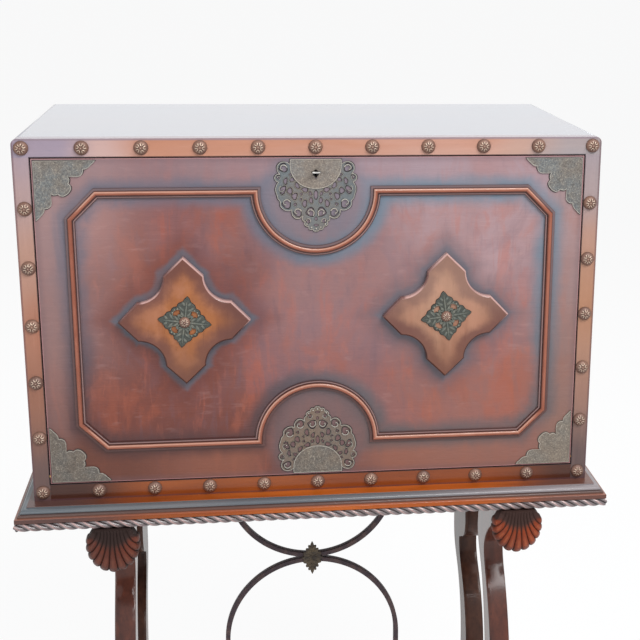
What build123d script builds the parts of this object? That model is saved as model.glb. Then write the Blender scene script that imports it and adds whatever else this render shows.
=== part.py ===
from build123d import *
from math import asin, atan2, cos, hypot, radians, sin, sqrt
import os

# Vargueno: a drop-front writing cabinet standing on a trestle stand.
# Millimetres. +Z is up, the front faces -Y, and the origin lies on the floor
# under the middle of the whole object.

# ---------------------------------------------------------------- driving sizes

# How far a cutting shape runs past the face that it cuts
cut_past = 1.0

# Case and face frame
case_width = 864.0
case_depth = 456.0
stile_width = 24.5
opening_height = 500.0
top_rail_height = 27.0
bottom_rail_height = 26.0
frame_thickness = 22.0
side_thickness = 20.0
top_thickness = 22.0
bottom_thickness = 18.0
back_thickness = 10.0
top_edge_radius = 9.0

# Fall front and its pivots
fall_gap = 1.5
fall_back_edge_radius = 6.0
pivot_inset = 5.0
pivot_rise = 10.0
pin_radius = 2.2
pin_running_clearance = 0.05
socket_radius = 3.5
socket_length = 12.0
pin_seat = 24.0
pin_end_clearance = 1.0
swing_clearance = 0.8

# Writing bed
bed_thickness = 17.0
bearer_width = 30.0
bearer_inset = 112.0

# Quadrant stays
stay_radius = 120.0
stay_bar_width = 10.0
stay_thickness = 3.0
stay_edge_inset = 7.0
stay_foot_width = 16.0
stay_foot_height = 55.0
stay_peg_radius = 3.0
stay_peg_length = 7.0
stop_plate_thickness = 3.5
stop_plate_height = 26.0
stop_clearance = 0.5
stop_side_clearance = 1.2
stop_flange_length = 24.0
stop_flange_thickness = 3.0
slot_clearance = 2.0

# Lock, key and strike
lock_width = 72.0
lock_height = 62.0
lock_depth = 14.0
keyhole_drop = 20.5
keyhole_clearance = 0.4
key_shaft_radius = 2.5
key_bow_width = 14.0
key_bow_length = 11.0
key_bow_thickness = 2.0
key_reach = 16.0
key_bit_length = 8.5
key_bit_width = 2.4
key_shaft_overlap = 1.5
key_bit_setback = 1.8
key_bit_clearance = 0.3
key_turning_room = 0.8
bolt_width = 24.0
bolt_thickness = 5.4
bolt_height = 36.0
bolt_travel = 8.0
bolt_clearance = 0.3
bolt_end_clearance = 1.0
lock_cap = 2.3
strike_width = 46.0
strike_border = 3.5
strike_thickness = 1.5

# Applied moulding on the fall
mould_side_inset = 50.0
mould_top_inset = 50.5
mould_bottom_inset = 57.0
mould_corner_cut = 38.0
mould_arch_radius = 89.0
mould_width = 15.0
mould_base_height = 3.0
bead_width = 7.5
bead_height = 7.0
bead_round = 3.0

# Crosses and the mounts on them
cross_spread = 197.0
cross_height = 254.0
cross_reach = 97.5
cross_shoulder_out = 69.0
cross_shoulder_in = 29.5
cross_thickness = 12.0
cross_bevel = 2.5
diamond_reach = 39.0
diamond_thickness = 2.5
diamond_tilt = 8.0
diamond_piercing_reach = 16.5
diamond_piercing_radius = 4.7

# Plates on the fall
plate_thickness = 2.0
plate_edge_inset = 2.0
bracket_reach = 88.0
mount_plate_half_width = 38.5
mount_plate_shoulder = 5.0
nail_head_radius = 10.6
nail_head_height = 8.0
nail_shank_radius = 1.5
nail_shank_length = 14.0
small_nail_radius = 8.0
small_nail_height = 6.0
small_nail_shank = 9.0

# Rosette nails round the face frame
nails_across = 11
nails_down = 7
nail_side_margin = 13.8
nail_top_margin = 13.3
nail_bottom_height = 14.2

# Gallery
gallery_setback = 176.0
gallery_alley = 32.0
gallery_end_thickness = 12.0
gallery_board = 10.0
drawer_row_height = 92.0
pigeonhole_height = 205.0
pigeonhole_count = 6
pilaster_depth = 20.0
valance_height = 42.0
valance_thickness = 8.0
valance_rise = 24.0
valance_inset = 4.0

# Drawers
drawer_count = 3
drawer_gap = 0.8
drawer_front_thickness = 14.0
drawer_wall = 8.0
drawer_floor = 6.0
drawer_back_gap = 6.0
knob_radius = 9.0
knob_neck_radius = 4.5
knob_face_radius = 4.5
knob_length = 20.0
knob_neck_length = 8.0
knob_swell = 3.0
knob_rim = 5.0

# Platform and rope moulding
stand_height = 712.0
flat_overhang = 22.0
ovolo_overhang = 31.0
cove_overhang = 35.0
fascia_overhang = 39.0
ovolo_round = 5.5
cove_round = 2.7
fascia_round = 1.5
flat_step = 2.0
ovolo_bottom = 8.5
cove_bottom = 13.0
platform_thickness = 20.0
underframe_thickness = 14.0
underframe_overhang = 27.0
platform_side_drawback = 13.0
rope_radius = 7.0

# Trestles
trestle_inset = 116.5
trestle_thickness = 34.0
head_height = 52.0
head_front_reach = 19.7
head_back_inset = 14.0
foot_height = 56.0
foot_width = 46.0
foot_front_reach = 12.0
foot_end_cut = 18.0
side_rail_top = 455.0
side_rail_height = 52.0
side_rail_start = 80.0
side_rail_end = 330.0
stretcher_thickness = 26.0
stretcher_height = 46.0

# Lopers and shells
loper_width = 22.0
loper_height = 30.0
loper_length = 318.0
loper_clearance = 0.4
loper_end_room = 6.0
shell_thickness = 30.0
shell_radius = 41.0
shell_centre_drop = 62.0
shell_neck_half_width = 25.0
shell_rib_count = 11
shell_lobe_rise = 3.0
shell_fan_start = 150.0
shell_fan_sweep = 240.0
shell_dome_half_width = 55.0
shell_dome_half_height = 63.5
shell_joint_gap = 0.3

# Iron brace
brace_y_from_face = 178.0
brace_bar = 8.0
brace_depth = 12.0
brace_upper_radius = 146.0
brace_kiss_drop = 198.0
brace_lower_radius = 152.0
brace_foot_length = 34.0
brace_foot_thickness = 4.0
leaf_width = 36.0
leaf_height = 62.0
leaf_thickness = 4.0
screw_head_radius = 4.5
screw_head_height = 2.5
screw_shank_radius = 2.0
screw_shank_length = 12.0
screw_inset = 10.0

# ---------------------------------------------------------------- derived places

shell_reach = head_front_reach + shell_joint_gap + shell_thickness
face_y = (shell_reach - case_depth) / 2
back_y = face_y + case_depth
frame_back_y = face_y + frame_thickness

half_width = case_width / 2
opening_half = half_width - stile_width
inner_half = half_width - side_thickness
trestle_spread = half_width - trestle_inset

case_z = stand_height
opening_z0 = case_z + bottom_rail_height
opening_z1 = opening_z0 + opening_height
top_z = opening_z1 + top_rail_height

fall_half = opening_half - fall_gap
fall_z0 = opening_z0 + fall_gap
fall_z1 = opening_z1 - fall_gap
pivot_y = face_y + pivot_inset
pivot_z = fall_z0 + pivot_rise
fall_back_from_pivot = frame_thickness - pivot_inset

bed_top = pivot_z + fall_back_from_pivot
corner_reach = fall_back_edge_radius + hypot(
    fall_back_from_pivot - fall_back_edge_radius, pivot_rise - fall_back_edge_radius
)
bed_front_y = pivot_y + corner_reach + swing_clearance
gallery_front_y = face_y + gallery_setback
gallery_back_y = back_y - back_thickness
ceiling_z = top_z - top_thickness

part_nodes = {}


# ---------------------------------------------------------------- helpers

def block(x, y, z):
    """A box from its low and high values along each axis."""
    size = Box(x[1] - x[0], y[1] - y[0], z[1] - z[0])
    return Pos((x[0] + x[1]) / 2, (y[0] + y[1]) / 2, (z[0] + z[1]) / 2) * size


def facing(face, y_back, thickness):
    """Extrude a face drawn in X and Z forwards from y_back."""
    return extrude(Plane.XZ.offset(-y_back) * face, thickness)


def sideways(face, x_low, thickness):
    """Extrude a face drawn in Y and Z along X from x_low."""
    return extrude(Plane.YZ.offset(x_low) * face, thickness)


def rod_x(x, y, z, radius):
    """A round bar along X."""
    return Pos((x[0] + x[1]) / 2, y, z) * Rot(0, 90, 0) * Cylinder(radius, x[1] - x[0])


def rod_y(x, y, z, radius):
    """A round bar along Y."""
    return Pos(x, (y[0] + y[1]) / 2, z) * Rot(90, 0, 0) * Cylinder(radius, y[1] - y[0])


def mirrored(shape):
    """The same piece on the other side of the middle."""
    return mirror(shape, about=Plane.YZ)


def group(shapes):
    """Separate solids that share one node."""
    return Compound(children=list(shapes))


def pair(name, right_piece):
    """Store a right-hand piece and its left-hand twin in nodes of their own."""
    part_nodes[name + "_right"] = right_piece
    part_nodes[name + "_left"] = mirrored(right_piece)


def twins(name, right_piece):
    """Store a right-hand piece and its left-hand twin in one node."""
    part_nodes[name] = group([right_piece, mirrored(right_piece)])


def domed_nail(head_radius, head_height, shank_length):
    """A nail along -Y at the origin: domed head in front, shank behind."""
    cap_radius = (head_radius**2 + head_height**2) / (2 * head_height)
    ball = Pos(0, cap_radius - head_height, 0) * Sphere(cap_radius)
    wide = (-head_radius - cut_past, head_radius + cut_past)
    dome = ball & block(wide, (-head_height - cut_past, 0), wide)
    return dome + rod_y(0, (0, shank_length), 0, nail_shank_radius)


# ---------------------------------------------------------------- nails of the face frame

top_nail_z = top_z - nail_top_margin
bottom_nail_z = case_z + nail_bottom_height
side_nail_x = half_width - nail_side_margin
nail_places = []
for i in range(nails_across):
    nail_x = side_nail_x * (2 * i / (nails_across - 1) - 1)
    nail_places.append((nail_x, top_nail_z))
    nail_places.append((nail_x, bottom_nail_z))
for i in range(1, nails_down - 1):
    nail_z = bottom_nail_z + (top_nail_z - bottom_nail_z) * i / (nails_down - 1)
    nail_places.append((-side_nail_x, nail_z))
    nail_places.append((side_nail_x, nail_z))

border_nail = domed_nail(nail_head_radius, nail_head_height, nail_shank_length)
part_nodes["border_nails"] = group(Pos(x, face_y, z) * border_nail for x, z in nail_places)
nail_holes = [
    rod_y(x, (face_y, face_y + nail_shank_length), z, nail_shank_radius) for x, z in nail_places
]


def drilled(piece):
    """Cut the nail shanks' holes into one member of the face frame."""
    box = piece.bounding_box()
    for (x, z), hole in zip(nail_places, nail_holes):
        if box.min.X < x < box.max.X and box.min.Z < z < box.max.Z:
            piece = piece - hole
    return piece


# ---------------------------------------------------------------- strike and lock places

bolt_y = (frame_back_y - lock_cap - bolt_thickness, frame_back_y - lock_cap)
bolt_hole_x = (-bolt_width / 2 - bolt_clearance, bolt_width / 2 + bolt_clearance)
bolt_hole_y = (bolt_y[0] - bolt_clearance, bolt_y[1] + bolt_clearance)
bolt_hole_top = opening_z1 + bolt_travel + bolt_end_clearance
strike_y = (bolt_y[0] - strike_border, frame_back_y)
key_z = fall_z1 - keyhole_drop

# ---------------------------------------------------------------- face frame

frame_y = (face_y, frame_back_y)
strike = block((-strike_width / 2, strike_width / 2), strike_y, (opening_z1, opening_z1 + strike_thickness))
bolt_mortise = block(bolt_hole_x, bolt_hole_y, (opening_z1, bolt_hole_top))
part_nodes["strike_plate"] = strike - bolt_mortise

top_rail = block((-half_width, half_width), frame_y, (opening_z1, top_z))
top_rail = fillet(top_rail.edges().filter_by(Axis.Y).group_by(Axis.Z)[-1], top_edge_radius)
part_nodes["face_top_rail"] = drilled(top_rail - strike - bolt_mortise)
part_nodes["face_bottom_rail"] = drilled(
    block((-opening_half, opening_half), frame_y, (case_z, opening_z0))
)

socket_x = (opening_half, opening_half + socket_length)
socket_seat = rod_x(socket_x, pivot_y, pivot_z, socket_radius)
stile = block((opening_half, half_width), frame_y, (case_z, opening_z1)) - socket_seat
pair("face_stile", drilled(stile))

# ---------------------------------------------------------------- case

side_y = (frame_back_y, back_y)
pair("case_side", block((inner_half, half_width), side_y, (case_z, ceiling_z)))
top_board = block((-half_width, half_width), side_y, (ceiling_z, top_z))
top_board = fillet(top_board.edges().filter_by(Axis.Y).group_by(Axis.Z)[-1], top_edge_radius)
part_nodes["case_top"] = top_board

stay_x1 = fall_half - stay_edge_inset
stay_x0 = stay_x1 - stay_thickness
peg_x1 = stay_x1 + stay_peg_length
slot_x = (stay_x0 - slot_clearance, peg_x1 + slot_clearance)
slot_half = stay_bar_width / 2 + 2 * slot_clearance
slot_y = (pivot_y + stay_radius - slot_half - slot_clearance, pivot_y + stay_radius + slot_half)
stay_slot = block(slot_x, slot_y, (case_z - cut_past, bed_top + cut_past))

case_bottom = block(
    (-inner_half, inner_half), (frame_back_y, gallery_back_y), (case_z, case_z + bottom_thickness)
)
part_nodes["case_bottom"] = case_bottom - stay_slot - mirrored(stay_slot)
part_nodes["case_back"] = block((-inner_half, inner_half), (gallery_back_y, back_y), (case_z, ceiling_z))

bearer_spread = inner_half - bearer_inset
bed_z = (bed_top - bed_thickness, bed_top)
writing_bed = block((-inner_half, inner_half), (bed_front_y, gallery_back_y), bed_z)
part_nodes["writing_bed"] = writing_bed - stay_slot - mirrored(stay_slot)
part_nodes["bed_bearers"] = group(
    block(
        (x - bearer_width / 2, x + bearer_width / 2),
        (bed_front_y, gallery_back_y),
        (case_z + bottom_thickness, bed_z[0]),
    )
    for x in (-bearer_spread, 0.0, bearer_spread)
)

socket = socket_seat - rod_x(socket_x, pivot_y, pivot_z, pin_radius + pin_running_clearance)
twins("pivot_sockets", socket)

# ---------------------------------------------------------------- gallery

gallery_half = inner_half - gallery_alley
gallery_inner = gallery_half - gallery_end_thickness
gallery_y = (gallery_front_y, gallery_back_y)
drawer_shelf_z = bed_top + drawer_row_height
pigeon_shelf_z = drawer_shelf_z + gallery_board + pigeonhole_height

gallery_end = block((gallery_inner, gallery_half), gallery_y, (bed_top, ceiling_z))
pilaster = block(
    (gallery_half, inner_half), (gallery_front_y, gallery_front_y + pilaster_depth), (bed_top, ceiling_z)
)
part_nodes["gallery_ends"] = group([gallery_end, pilaster, mirrored(gallery_end), mirrored(pilaster)])
part_nodes["gallery_shelves"] = group(
    block((-gallery_inner, gallery_inner), gallery_y, (z, z + gallery_board))
    for z in (drawer_shelf_z, pigeon_shelf_z)
)

drawer_bay = (2 * gallery_inner - (drawer_count - 1) * gallery_board) / drawer_count
pigeon_bay = (2 * gallery_inner - (pigeonhole_count - 1) * gallery_board) / pigeonhole_count
partitions = []
for i in range(1, drawer_count):
    x = -gallery_inner + i * drawer_bay + (i - 1) * gallery_board
    partitions.append(block((x, x + gallery_board), gallery_y, (bed_top, drawer_shelf_z)))
for i in range(1, pigeonhole_count):
    x = -gallery_inner + i * pigeon_bay + (i - 1) * gallery_board
    partitions.append(
        block((x, x + gallery_board), gallery_y, (drawer_shelf_z + gallery_board, pigeon_shelf_z))
    )
part_nodes["gallery_partitions"] = group(partitions)


def valance(x0):
    """The arched board that hangs in the head of one pigeonhole."""
    x1 = x0 + pigeon_bay
    foot = pigeon_shelf_z - valance_height
    outline = Polyline((x1, foot), (x1, pigeon_shelf_z), (x0, pigeon_shelf_z), (x0, foot))
    arch = ThreePointArc((x0, foot), ((x0 + x1) / 2, foot + valance_rise), (x1, foot))
    y_back = gallery_front_y + valance_inset + valance_thickness
    return facing(make_face(outline + arch), y_back, valance_thickness)


part_nodes["gallery_valances"] = group(
    valance(-gallery_inner + i * (pigeon_bay + gallery_board)) for i in range(pigeonhole_count)
)

# ---------------------------------------------------------------- drawers

knob_rim_start = knob_neck_length + knob_swell
knob_profile = make_face(
    Polyline(
        (0, 0), (knob_neck_radius, 0), (knob_neck_radius, knob_neck_length),
        (knob_radius, knob_rim_start), (knob_radius, knob_rim_start + knob_rim),
        (knob_face_radius, knob_length), (0, knob_length), (0, 0),
    )
)
knob = Rot(90, 0, 0) * revolve(Plane.XZ * knob_profile, Axis.Z)

drawer_z = (bed_top + drawer_gap, drawer_shelf_z - drawer_gap)
drawer_names = ("left", "middle", "right")
for i, side in enumerate(drawer_names):
    x0 = -gallery_inner + i * (drawer_bay + gallery_board) + drawer_gap
    x1 = x0 + drawer_bay - 2 * drawer_gap
    y1 = gallery_back_y - drawer_back_gap
    tray = block((x0, x1), (gallery_front_y, y1), drawer_z)
    hollow = block(
        (x0 + drawer_wall, x1 - drawer_wall),
        (gallery_front_y + drawer_front_thickness, y1 - drawer_wall),
        (drawer_z[0] + drawer_floor, drawer_z[1] + cut_past),
    )
    part_nodes["drawer_" + side] = tray - hollow
    knob_place = Pos((x0 + x1) / 2, gallery_front_y, (drawer_z[0] + drawer_z[1]) / 2)
    part_nodes["drawer_knob_" + side] = knob_place * knob

# ---------------------------------------------------------------- fall front

lock_y = (frame_back_y - lock_depth, frame_back_y)
lock_z = (fall_z1 - lock_height, fall_z1)
lock_block = block((-lock_width / 2, lock_width / 2), lock_y, lock_z)
key_hole_radius = key_shaft_radius + keyhole_clearance
key_slot_half = key_bit_width / 2 + keyhole_clearance


def keyhole(y):
    """Round hole with a slot below it, cut from front to back."""
    slot_x = (-key_slot_half, key_slot_half)
    slot_z = (key_z - key_bit_length - keyhole_clearance, key_z)
    return rod_y(0, y, key_z, key_hole_radius) + block(slot_x, y, slot_z)


fall_panel = block((-fall_half, fall_half), frame_y, (fall_z0, fall_z1))
back_bottom_edge = fall_panel.edges().filter_by(Axis.X).sort_by(Axis.Z)[:2].sort_by(Axis.Y)[-1]
fall_panel = fillet(back_bottom_edge, fall_back_edge_radius)
pin_x = (fall_half - pin_seat, opening_half + socket_length - pin_end_clearance)
pin = rod_x(pin_x, pivot_y, pivot_z, pin_radius)
fall_panel = fall_panel - pin - mirrored(pin) - lock_block - keyhole((face_y, lock_y[0]))
part_nodes["fall_panel"] = fall_panel
twins("pivot_pins", pin)


def mould_path():
    """Centre line of the applied moulding, as one closed line in X and Z."""
    top = fall_z1 - mould_top_inset
    low = fall_z0 + mould_bottom_inset
    wide = fall_half - mould_side_inset
    cut = mould_corner_cut
    arch = mould_arch_radius
    right = Polyline(
        (arch, top), (wide - cut, top), (wide, top - cut),
        (wide, low + cut), (wide - cut, low), (arch, low),
    )
    left = Polyline(
        (-arch, low), (cut - wide, low), (-wide, low + cut),
        (-wide, top - cut), (cut - wide, top), (-arch, top),
    )
    rise = ThreePointArc((arch, low), (0, low + arch), (-arch, low))
    dip = ThreePointArc((-arch, top), (0, top - arch), (arch, top))
    return make_face(right + rise + left + dip)


def band(width, height):
    """A strip of the given width that follows the moulding's centre line."""
    path = mould_path()
    outer = offset(path, width / 2, kind=Kind.INTERSECTION)
    inner = offset(path, -width / 2, kind=Kind.INTERSECTION)
    return facing(outer - inner, face_y, height)


bead = band(bead_width, bead_height)
bead_top_edges = bead.faces().sort_by(Axis.Y)[0].edges()
bead = fillet(bead_top_edges, bead_round)
part_nodes["fall_moulding"] = band(mould_width, mould_base_height) + bead


def cross_outline():
    """Four pointed arms with straight tips and quarter-round bites between them."""
    lines = []
    bite = cross_shoulder_out - cross_shoulder_in
    for i in range(4):
        turn = Rot(0, 0, 90 * i)
        tip = Polyline(
            (cross_shoulder_in, cross_shoulder_out),
            (0, cross_reach),
            (-cross_shoulder_in, cross_shoulder_out),
        )
        near = cross_shoulder_out - bite * sqrt(0.5)
        bite_arc = ThreePointArc(
            (-cross_shoulder_in, cross_shoulder_out), (-near, near), (-cross_shoulder_out, cross_shoulder_in)
        )
        lines.append(turn * tip)
        lines.append(turn * bite_arc)
    return make_face(lines)


def diamond_outline():
    """A square on its corner, with four round piercings."""
    shape = Rot(0, 0, 45) * Rectangle(diamond_reach * sqrt(2), diamond_reach * sqrt(2))
    piercing = Pos(diamond_piercing_reach, 0) * Circle(diamond_piercing_radius)
    for i in range(4):
        shape = shape - Rot(0, 0, 45 + 90 * i) * piercing
    return shape


cross_front_y = face_y - cross_thickness
diamond_front_y = cross_front_y - diamond_thickness
small_nail = domed_nail(small_nail_radius, small_nail_height, small_nail_shank)
diamonds = []
small_nails = []
cross_z = fall_z0 + cross_height
for side, sign in (("left", -1), ("right", 1)):
    x = sign * cross_spread
    tilt = sign * diamond_tilt
    hole = rod_y(x, (diamond_front_y, diamond_front_y + small_nail_shank), cross_z, nail_shank_radius)
    cross = facing(Pos(x, cross_z) * cross_outline(), face_y, cross_thickness)
    cross = chamfer(cross.faces().sort_by(Axis.Y)[0].edges(), cross_bevel)
    part_nodes["cross_" + side] = cross - hole
    diamond = Pos(x, cross_z) * Rot(0, 0, tilt) * diamond_outline()
    mount = facing(diamond, cross_front_y, diamond_thickness)
    diamonds.append(mount - hole)
    small_nails.append(Pos(x, diamond_front_y, cross_z) * small_nail)
part_nodes["diamond_mounts"] = group(diamonds)
part_nodes["cross_nails"] = group(small_nails)


# Inner edge of a corner bracket from its tip to its notch: each arc's start, middle and end
bracket_arcs = (
    ((bracket_reach, 0.0), (80.0, 3.1), (75.7, 8.8)),
    ((75.7, 8.8), (70.4, 20.2), (58.1, 20.2)),
    ((58.1, 20.2), (54.6, 29.9), (44.0, 29.9)),
)
bracket_middle = 41.4


def bracket_outline():
    """One corner bracket: two straight edges and a lobed inner edge."""
    notch = bracket_arcs[-1][-1]
    lines = [ThreePointArc(*arc) for arc in bracket_arcs]
    for start, middle, end in reversed(bracket_arcs):
        lines.append(ThreePointArc(end[::-1], middle[::-1], start[::-1]))
    lines.append(ThreePointArc(notch, (bracket_middle, bracket_middle), notch[::-1]))
    lines.append(Polyline((0, bracket_reach), (0, 0), (bracket_reach, 0)))
    return make_face(lines)


bracket_face = bracket_outline()
bracket_low_right = facing(
    Pos(fall_half - plate_edge_inset, fall_z0 + plate_edge_inset) * mirror(bracket_face, about=Plane.YZ),
    face_y, plate_thickness,
)
fall_middle = Plane.XY.offset((fall_z0 + fall_z1) / 2)
brackets = [bracket_low_right, mirrored(bracket_low_right)]
brackets += [mirror(piece, about=fall_middle) for piece in brackets]
part_nodes["corner_brackets"] = group(brackets)

# Lobes of the pierced mounts: distance from the middle, distance from the edge, radius
mount_lobes = (
    (49.0, 12.0, 9.5), (54.0, 27.0, 8.0), (52.0, 46.0, 10.0), (43.0, 67.0, 10.5),
    (27.0, 80.0, 10.0), (9.5, 82.0, 10.0), (10.0, 94.0, 6.5), (0.0, 101.5, 8.0),
)
mount_web_radius = 50.0
mount_web_drop = 36.0
lobe_piercing_share = 0.4


def mount_outline():
    """Half-round plate in a lobed, pierced surround, hanging from z = 0."""
    shape = Pos(0, -mount_web_drop) * Circle(mount_web_radius)
    shape = shape - Pos(0, mount_web_radius) * Rectangle(4 * mount_web_radius, 2 * mount_web_radius)
    holes = []
    for across, drop, radius in mount_lobes:
        for side in (-1, 1):
            lobe = Pos(side * across, -drop) * Circle(radius)
            shape = shape + lobe
            holes.append(Pos(side * across, -drop) * Circle(radius * lobe_piercing_share))
    for hole in holes:
        shape = shape - hole
    plate = Pos(0, -mount_plate_shoulder / 2) * Rectangle(2 * mount_plate_half_width, mount_plate_shoulder)
    disc = Pos(0, -mount_plate_shoulder) * Circle(mount_plate_half_width)
    upper = Pos(0, mount_plate_half_width) * Rectangle(
        4 * mount_plate_half_width, 2 * mount_plate_half_width
    )
    return shape + plate + (disc - upper)


upper_mount = facing(Pos(0, fall_z1 - plate_edge_inset) * mount_outline(), face_y, plate_thickness)
part_nodes["upper_mount"] = upper_mount - keyhole((face_y - plate_thickness, face_y))
lower_face = mirror(mount_outline(), about=Plane.XZ)
lower_place = Pos(0, fall_z0 + plate_edge_inset)
part_nodes["lower_mount"] = facing(lower_place * lower_face, face_y, plate_thickness)

# ---------------------------------------------------------------- lock, bolt and key

bit_y = (lock_y[0] + key_bit_setback, lock_y[0] + key_bit_setback + key_bit_width)
bit_room_y = (lock_y[0], bit_y[1] + key_bit_clearance)
bolt_z = (fall_z1 - bolt_clearance - bolt_height, fall_z1 - bolt_clearance)
bolt_channel = block(bolt_hole_x, bolt_hole_y, (bolt_z[0] - bolt_clearance, fall_z1 + cut_past))
bit_room = rod_y(0, bit_room_y, key_z, key_bit_length + key_turning_room)
part_nodes["lock_case"] = lock_block - bolt_channel - bit_room
part_nodes["lock_bolt"] = block((-bolt_width / 2, bolt_width / 2), bolt_y, bolt_z)

bow_y = (face_y - key_reach, face_y - key_reach + key_bow_length)
bow = Pos(0, (bow_y[0] + bow_y[1]) / 2, key_z) * extrude(
    Ellipse(key_bow_width / 2, key_bow_length / 2) - Ellipse(key_bow_width / 4, key_bow_length / 4),
    key_bow_thickness / 2, both=True,
)
shaft = rod_y(0, (bow_y[1] - key_shaft_overlap, bit_y[1]), key_z, key_shaft_radius)
bit = block((-key_bit_width / 2, key_bit_width / 2), bit_y, (key_z - key_bit_length, key_z))
part_nodes["key"] = bow + shaft + bit

# ---------------------------------------------------------------- quadrant stays and stops

stop_front_y = pivot_y + fall_back_from_pivot + stop_clearance
stop_y = (stop_front_y, stop_front_y + stop_plate_thickness)
peg_open_y = stop_y[1] + stay_peg_radius + stop_clearance - pivot_y
peg_angle = asin(peg_open_y / stay_radius)
peg_open_z = stay_radius * cos(peg_angle)
stay_start = atan2(sqrt(stay_radius**2 - fall_back_from_pivot**2), fall_back_from_pivot)
stay_end = -peg_angle - stay_peg_radius / stay_radius
stay_outer = stay_radius + stay_bar_width / 2
stay_inner = stay_radius - stay_bar_width / 2


def on_circle(radius, angle):
    """A point in Y and Z at a radius and angle from the pivot."""
    return (pivot_y + radius * cos(angle), pivot_z + radius * sin(angle))


def stay_outline():
    """The quadrant bar, from the fall's inner face to just past the peg."""
    middle = (stay_start + stay_end) / 2
    outer = ThreePointArc(
        on_circle(stay_outer, stay_end), on_circle(stay_outer, middle), on_circle(stay_outer, stay_start)
    )
    inner = ThreePointArc(
        on_circle(stay_inner, stay_end), on_circle(stay_inner, middle), on_circle(stay_inner, stay_start)
    )
    ends = [
        Line(on_circle(stay_outer, stay_end), on_circle(stay_inner, stay_end)),
        Line(on_circle(stay_outer, stay_start), on_circle(stay_inner, stay_start)),
    ]
    return make_face([outer, inner] + ends)


stay_bar = sideways(stay_outline(), stay_x0, stay_thickness)
foot_y = pivot_y + fall_back_from_pivot
foot_z = pivot_z + stay_radius * sin(stay_start)
stay_foot = block(
    (stay_x1 - stay_foot_width, stay_x1),
    (foot_y, foot_y + stay_thickness),
    (foot_z - stay_foot_height / 2, foot_z + stay_foot_height / 2),
)
stay_trim = block(
    (stay_x0 - cut_past, stay_x1 + cut_past),
    (foot_y - stay_radius, foot_y),
    (pivot_z, pivot_z + 2 * stay_radius),
)
peg_y, peg_z = on_circle(stay_radius, -peg_angle)
peg = rod_x((stay_x0, peg_x1), peg_y, peg_z, stay_peg_radius)
pair("quadrant_stay", stay_bar - stay_trim + stay_foot + peg)

stop_x = (stay_x1 + stop_side_clearance, inner_half)
stop_z = (pivot_z + peg_open_z - stop_plate_height / 2, pivot_z + peg_open_z + stop_plate_height / 2)
stop = block(stop_x, stop_y, stop_z) + block(
    (inner_half - stop_flange_thickness, inner_half), (stop_y[0], stop_y[1] + stop_flange_length), stop_z
)
twins("stay_stops", stop)

# ---------------------------------------------------------------- platform


def slab(overhang, z, edge_radius=0.0):
    """A board under the case that stands out at the front, and less at both sides."""
    wide = half_width + overhang - platform_side_drawback
    board = block((-wide, wide), (face_y - overhang, back_y), (case_z - z[1], case_z - z[0]))
    if edge_radius:
        top_edges = board.faces().sort_by(Axis.Z)[-1].edges().sort_by(Axis.Y)[:-1]
        board = fillet(top_edges, edge_radius)
    return board


platform = slab(flat_overhang, (0, flat_step))
platform = platform + slab(ovolo_overhang, (flat_step, ovolo_bottom), ovolo_round)
platform = platform + slab(cove_overhang, (ovolo_bottom, cove_bottom), cove_round)
platform = platform + slab(fascia_overhang, (cove_bottom, platform_thickness), fascia_round)
part_nodes["platform_board"] = platform
underframe_z = (platform_thickness, platform_thickness + underframe_thickness)
part_nodes["platform_underframe"] = slab(underframe_overhang, underframe_z)

rope_out = underframe_overhang + rope_radius
rope_z = case_z - platform_thickness - rope_radius
rope_front_y = face_y - rope_out
rope_side_x = half_width + rope_out - platform_side_drawback
rope_end_x = rope_side_x + 2 * rope_radius
mitre_size = 8 * rope_radius


def mitre(flip):
    """A block whose slanted face cuts a rope end at 45 degrees at the right corner."""
    cutter = Rot(0, 0, 45) * Pos(flip * mitre_size / 2, 0, 0) * Box(mitre_size, 2 * mitre_size, mitre_size)
    return Pos(rope_side_x, rope_front_y, rope_z) * cutter


rope_front = rod_x((-rope_end_x, rope_end_x), rope_front_y, rope_z, rope_radius)
front_cut = mitre(1)
rope_front = rope_front - front_cut - mirrored(front_cut)
part_nodes["rope_front"] = rope_front
rope_side = rod_y(rope_side_x, (rope_front_y - 2 * rope_radius, back_y), rope_z, rope_radius) - mitre(-1)
twins("rope_sides", rope_side)

# ---------------------------------------------------------------- trestles and lopers

head_z = (case_z - underframe_z[1] - head_height, case_z - underframe_z[1])
trestle_x = (trestle_spread - trestle_thickness / 2, trestle_spread + trestle_thickness / 2)
head_y = (face_y - head_front_reach, back_y - head_back_inset)
loper_y = (head_y[0] - shell_joint_gap, head_y[0] - shell_joint_gap + loper_length)
loper_z = (head_z[1] - loper_clearance - loper_height, head_z[1] - loper_clearance)
loper_x = (trestle_spread - loper_width / 2, trestle_spread + loper_width / 2)
channel = block(
    (loper_x[0] - loper_clearance, loper_x[1] + loper_clearance),
    (head_y[0] - cut_past, loper_y[1] + loper_end_room),
    (loper_z[0] - loper_clearance, head_z[1] + cut_past),
)
twins("trestle_heads", block(trestle_x, head_y, head_z) - channel)
pair("loper_bar", block(loper_x, loper_y, loper_z))


leg_top = case_z - head_z[0]
leg_bottom = case_z - foot_height

# Edges of the sawn legs: distances behind the case's face, and below the platform's top
front_leg_front = (
    (22, leg_top), (78, 110), (120, 138), (148, 182), (122, 232),
    (74, 320), (52, 420), (66, 520), (96, 600), (104, leg_bottom),
)
front_leg_back = (
    (196, leg_top), (206, 136), (208, 178), (176, 222),
    (134, 300), (112, 400), (118, 490), (150, 580), (176, leg_bottom),
)
rear_leg_head = ((330, leg_top), (334, 200), (332, 224), (342, 246), (366, 262))
rear_leg_shaft = (
    (393, 275), (388, 300), (352, 340), (306, 410), (292, 480), (312, 560), (340, leg_bottom),
)
rear_leg_back = (
    (440, leg_top), (452, 180), (455, 262), (448, 296), (404, 342),
    (362, 410), (352, 480), (374, 560), (420, leg_bottom),
)


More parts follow.
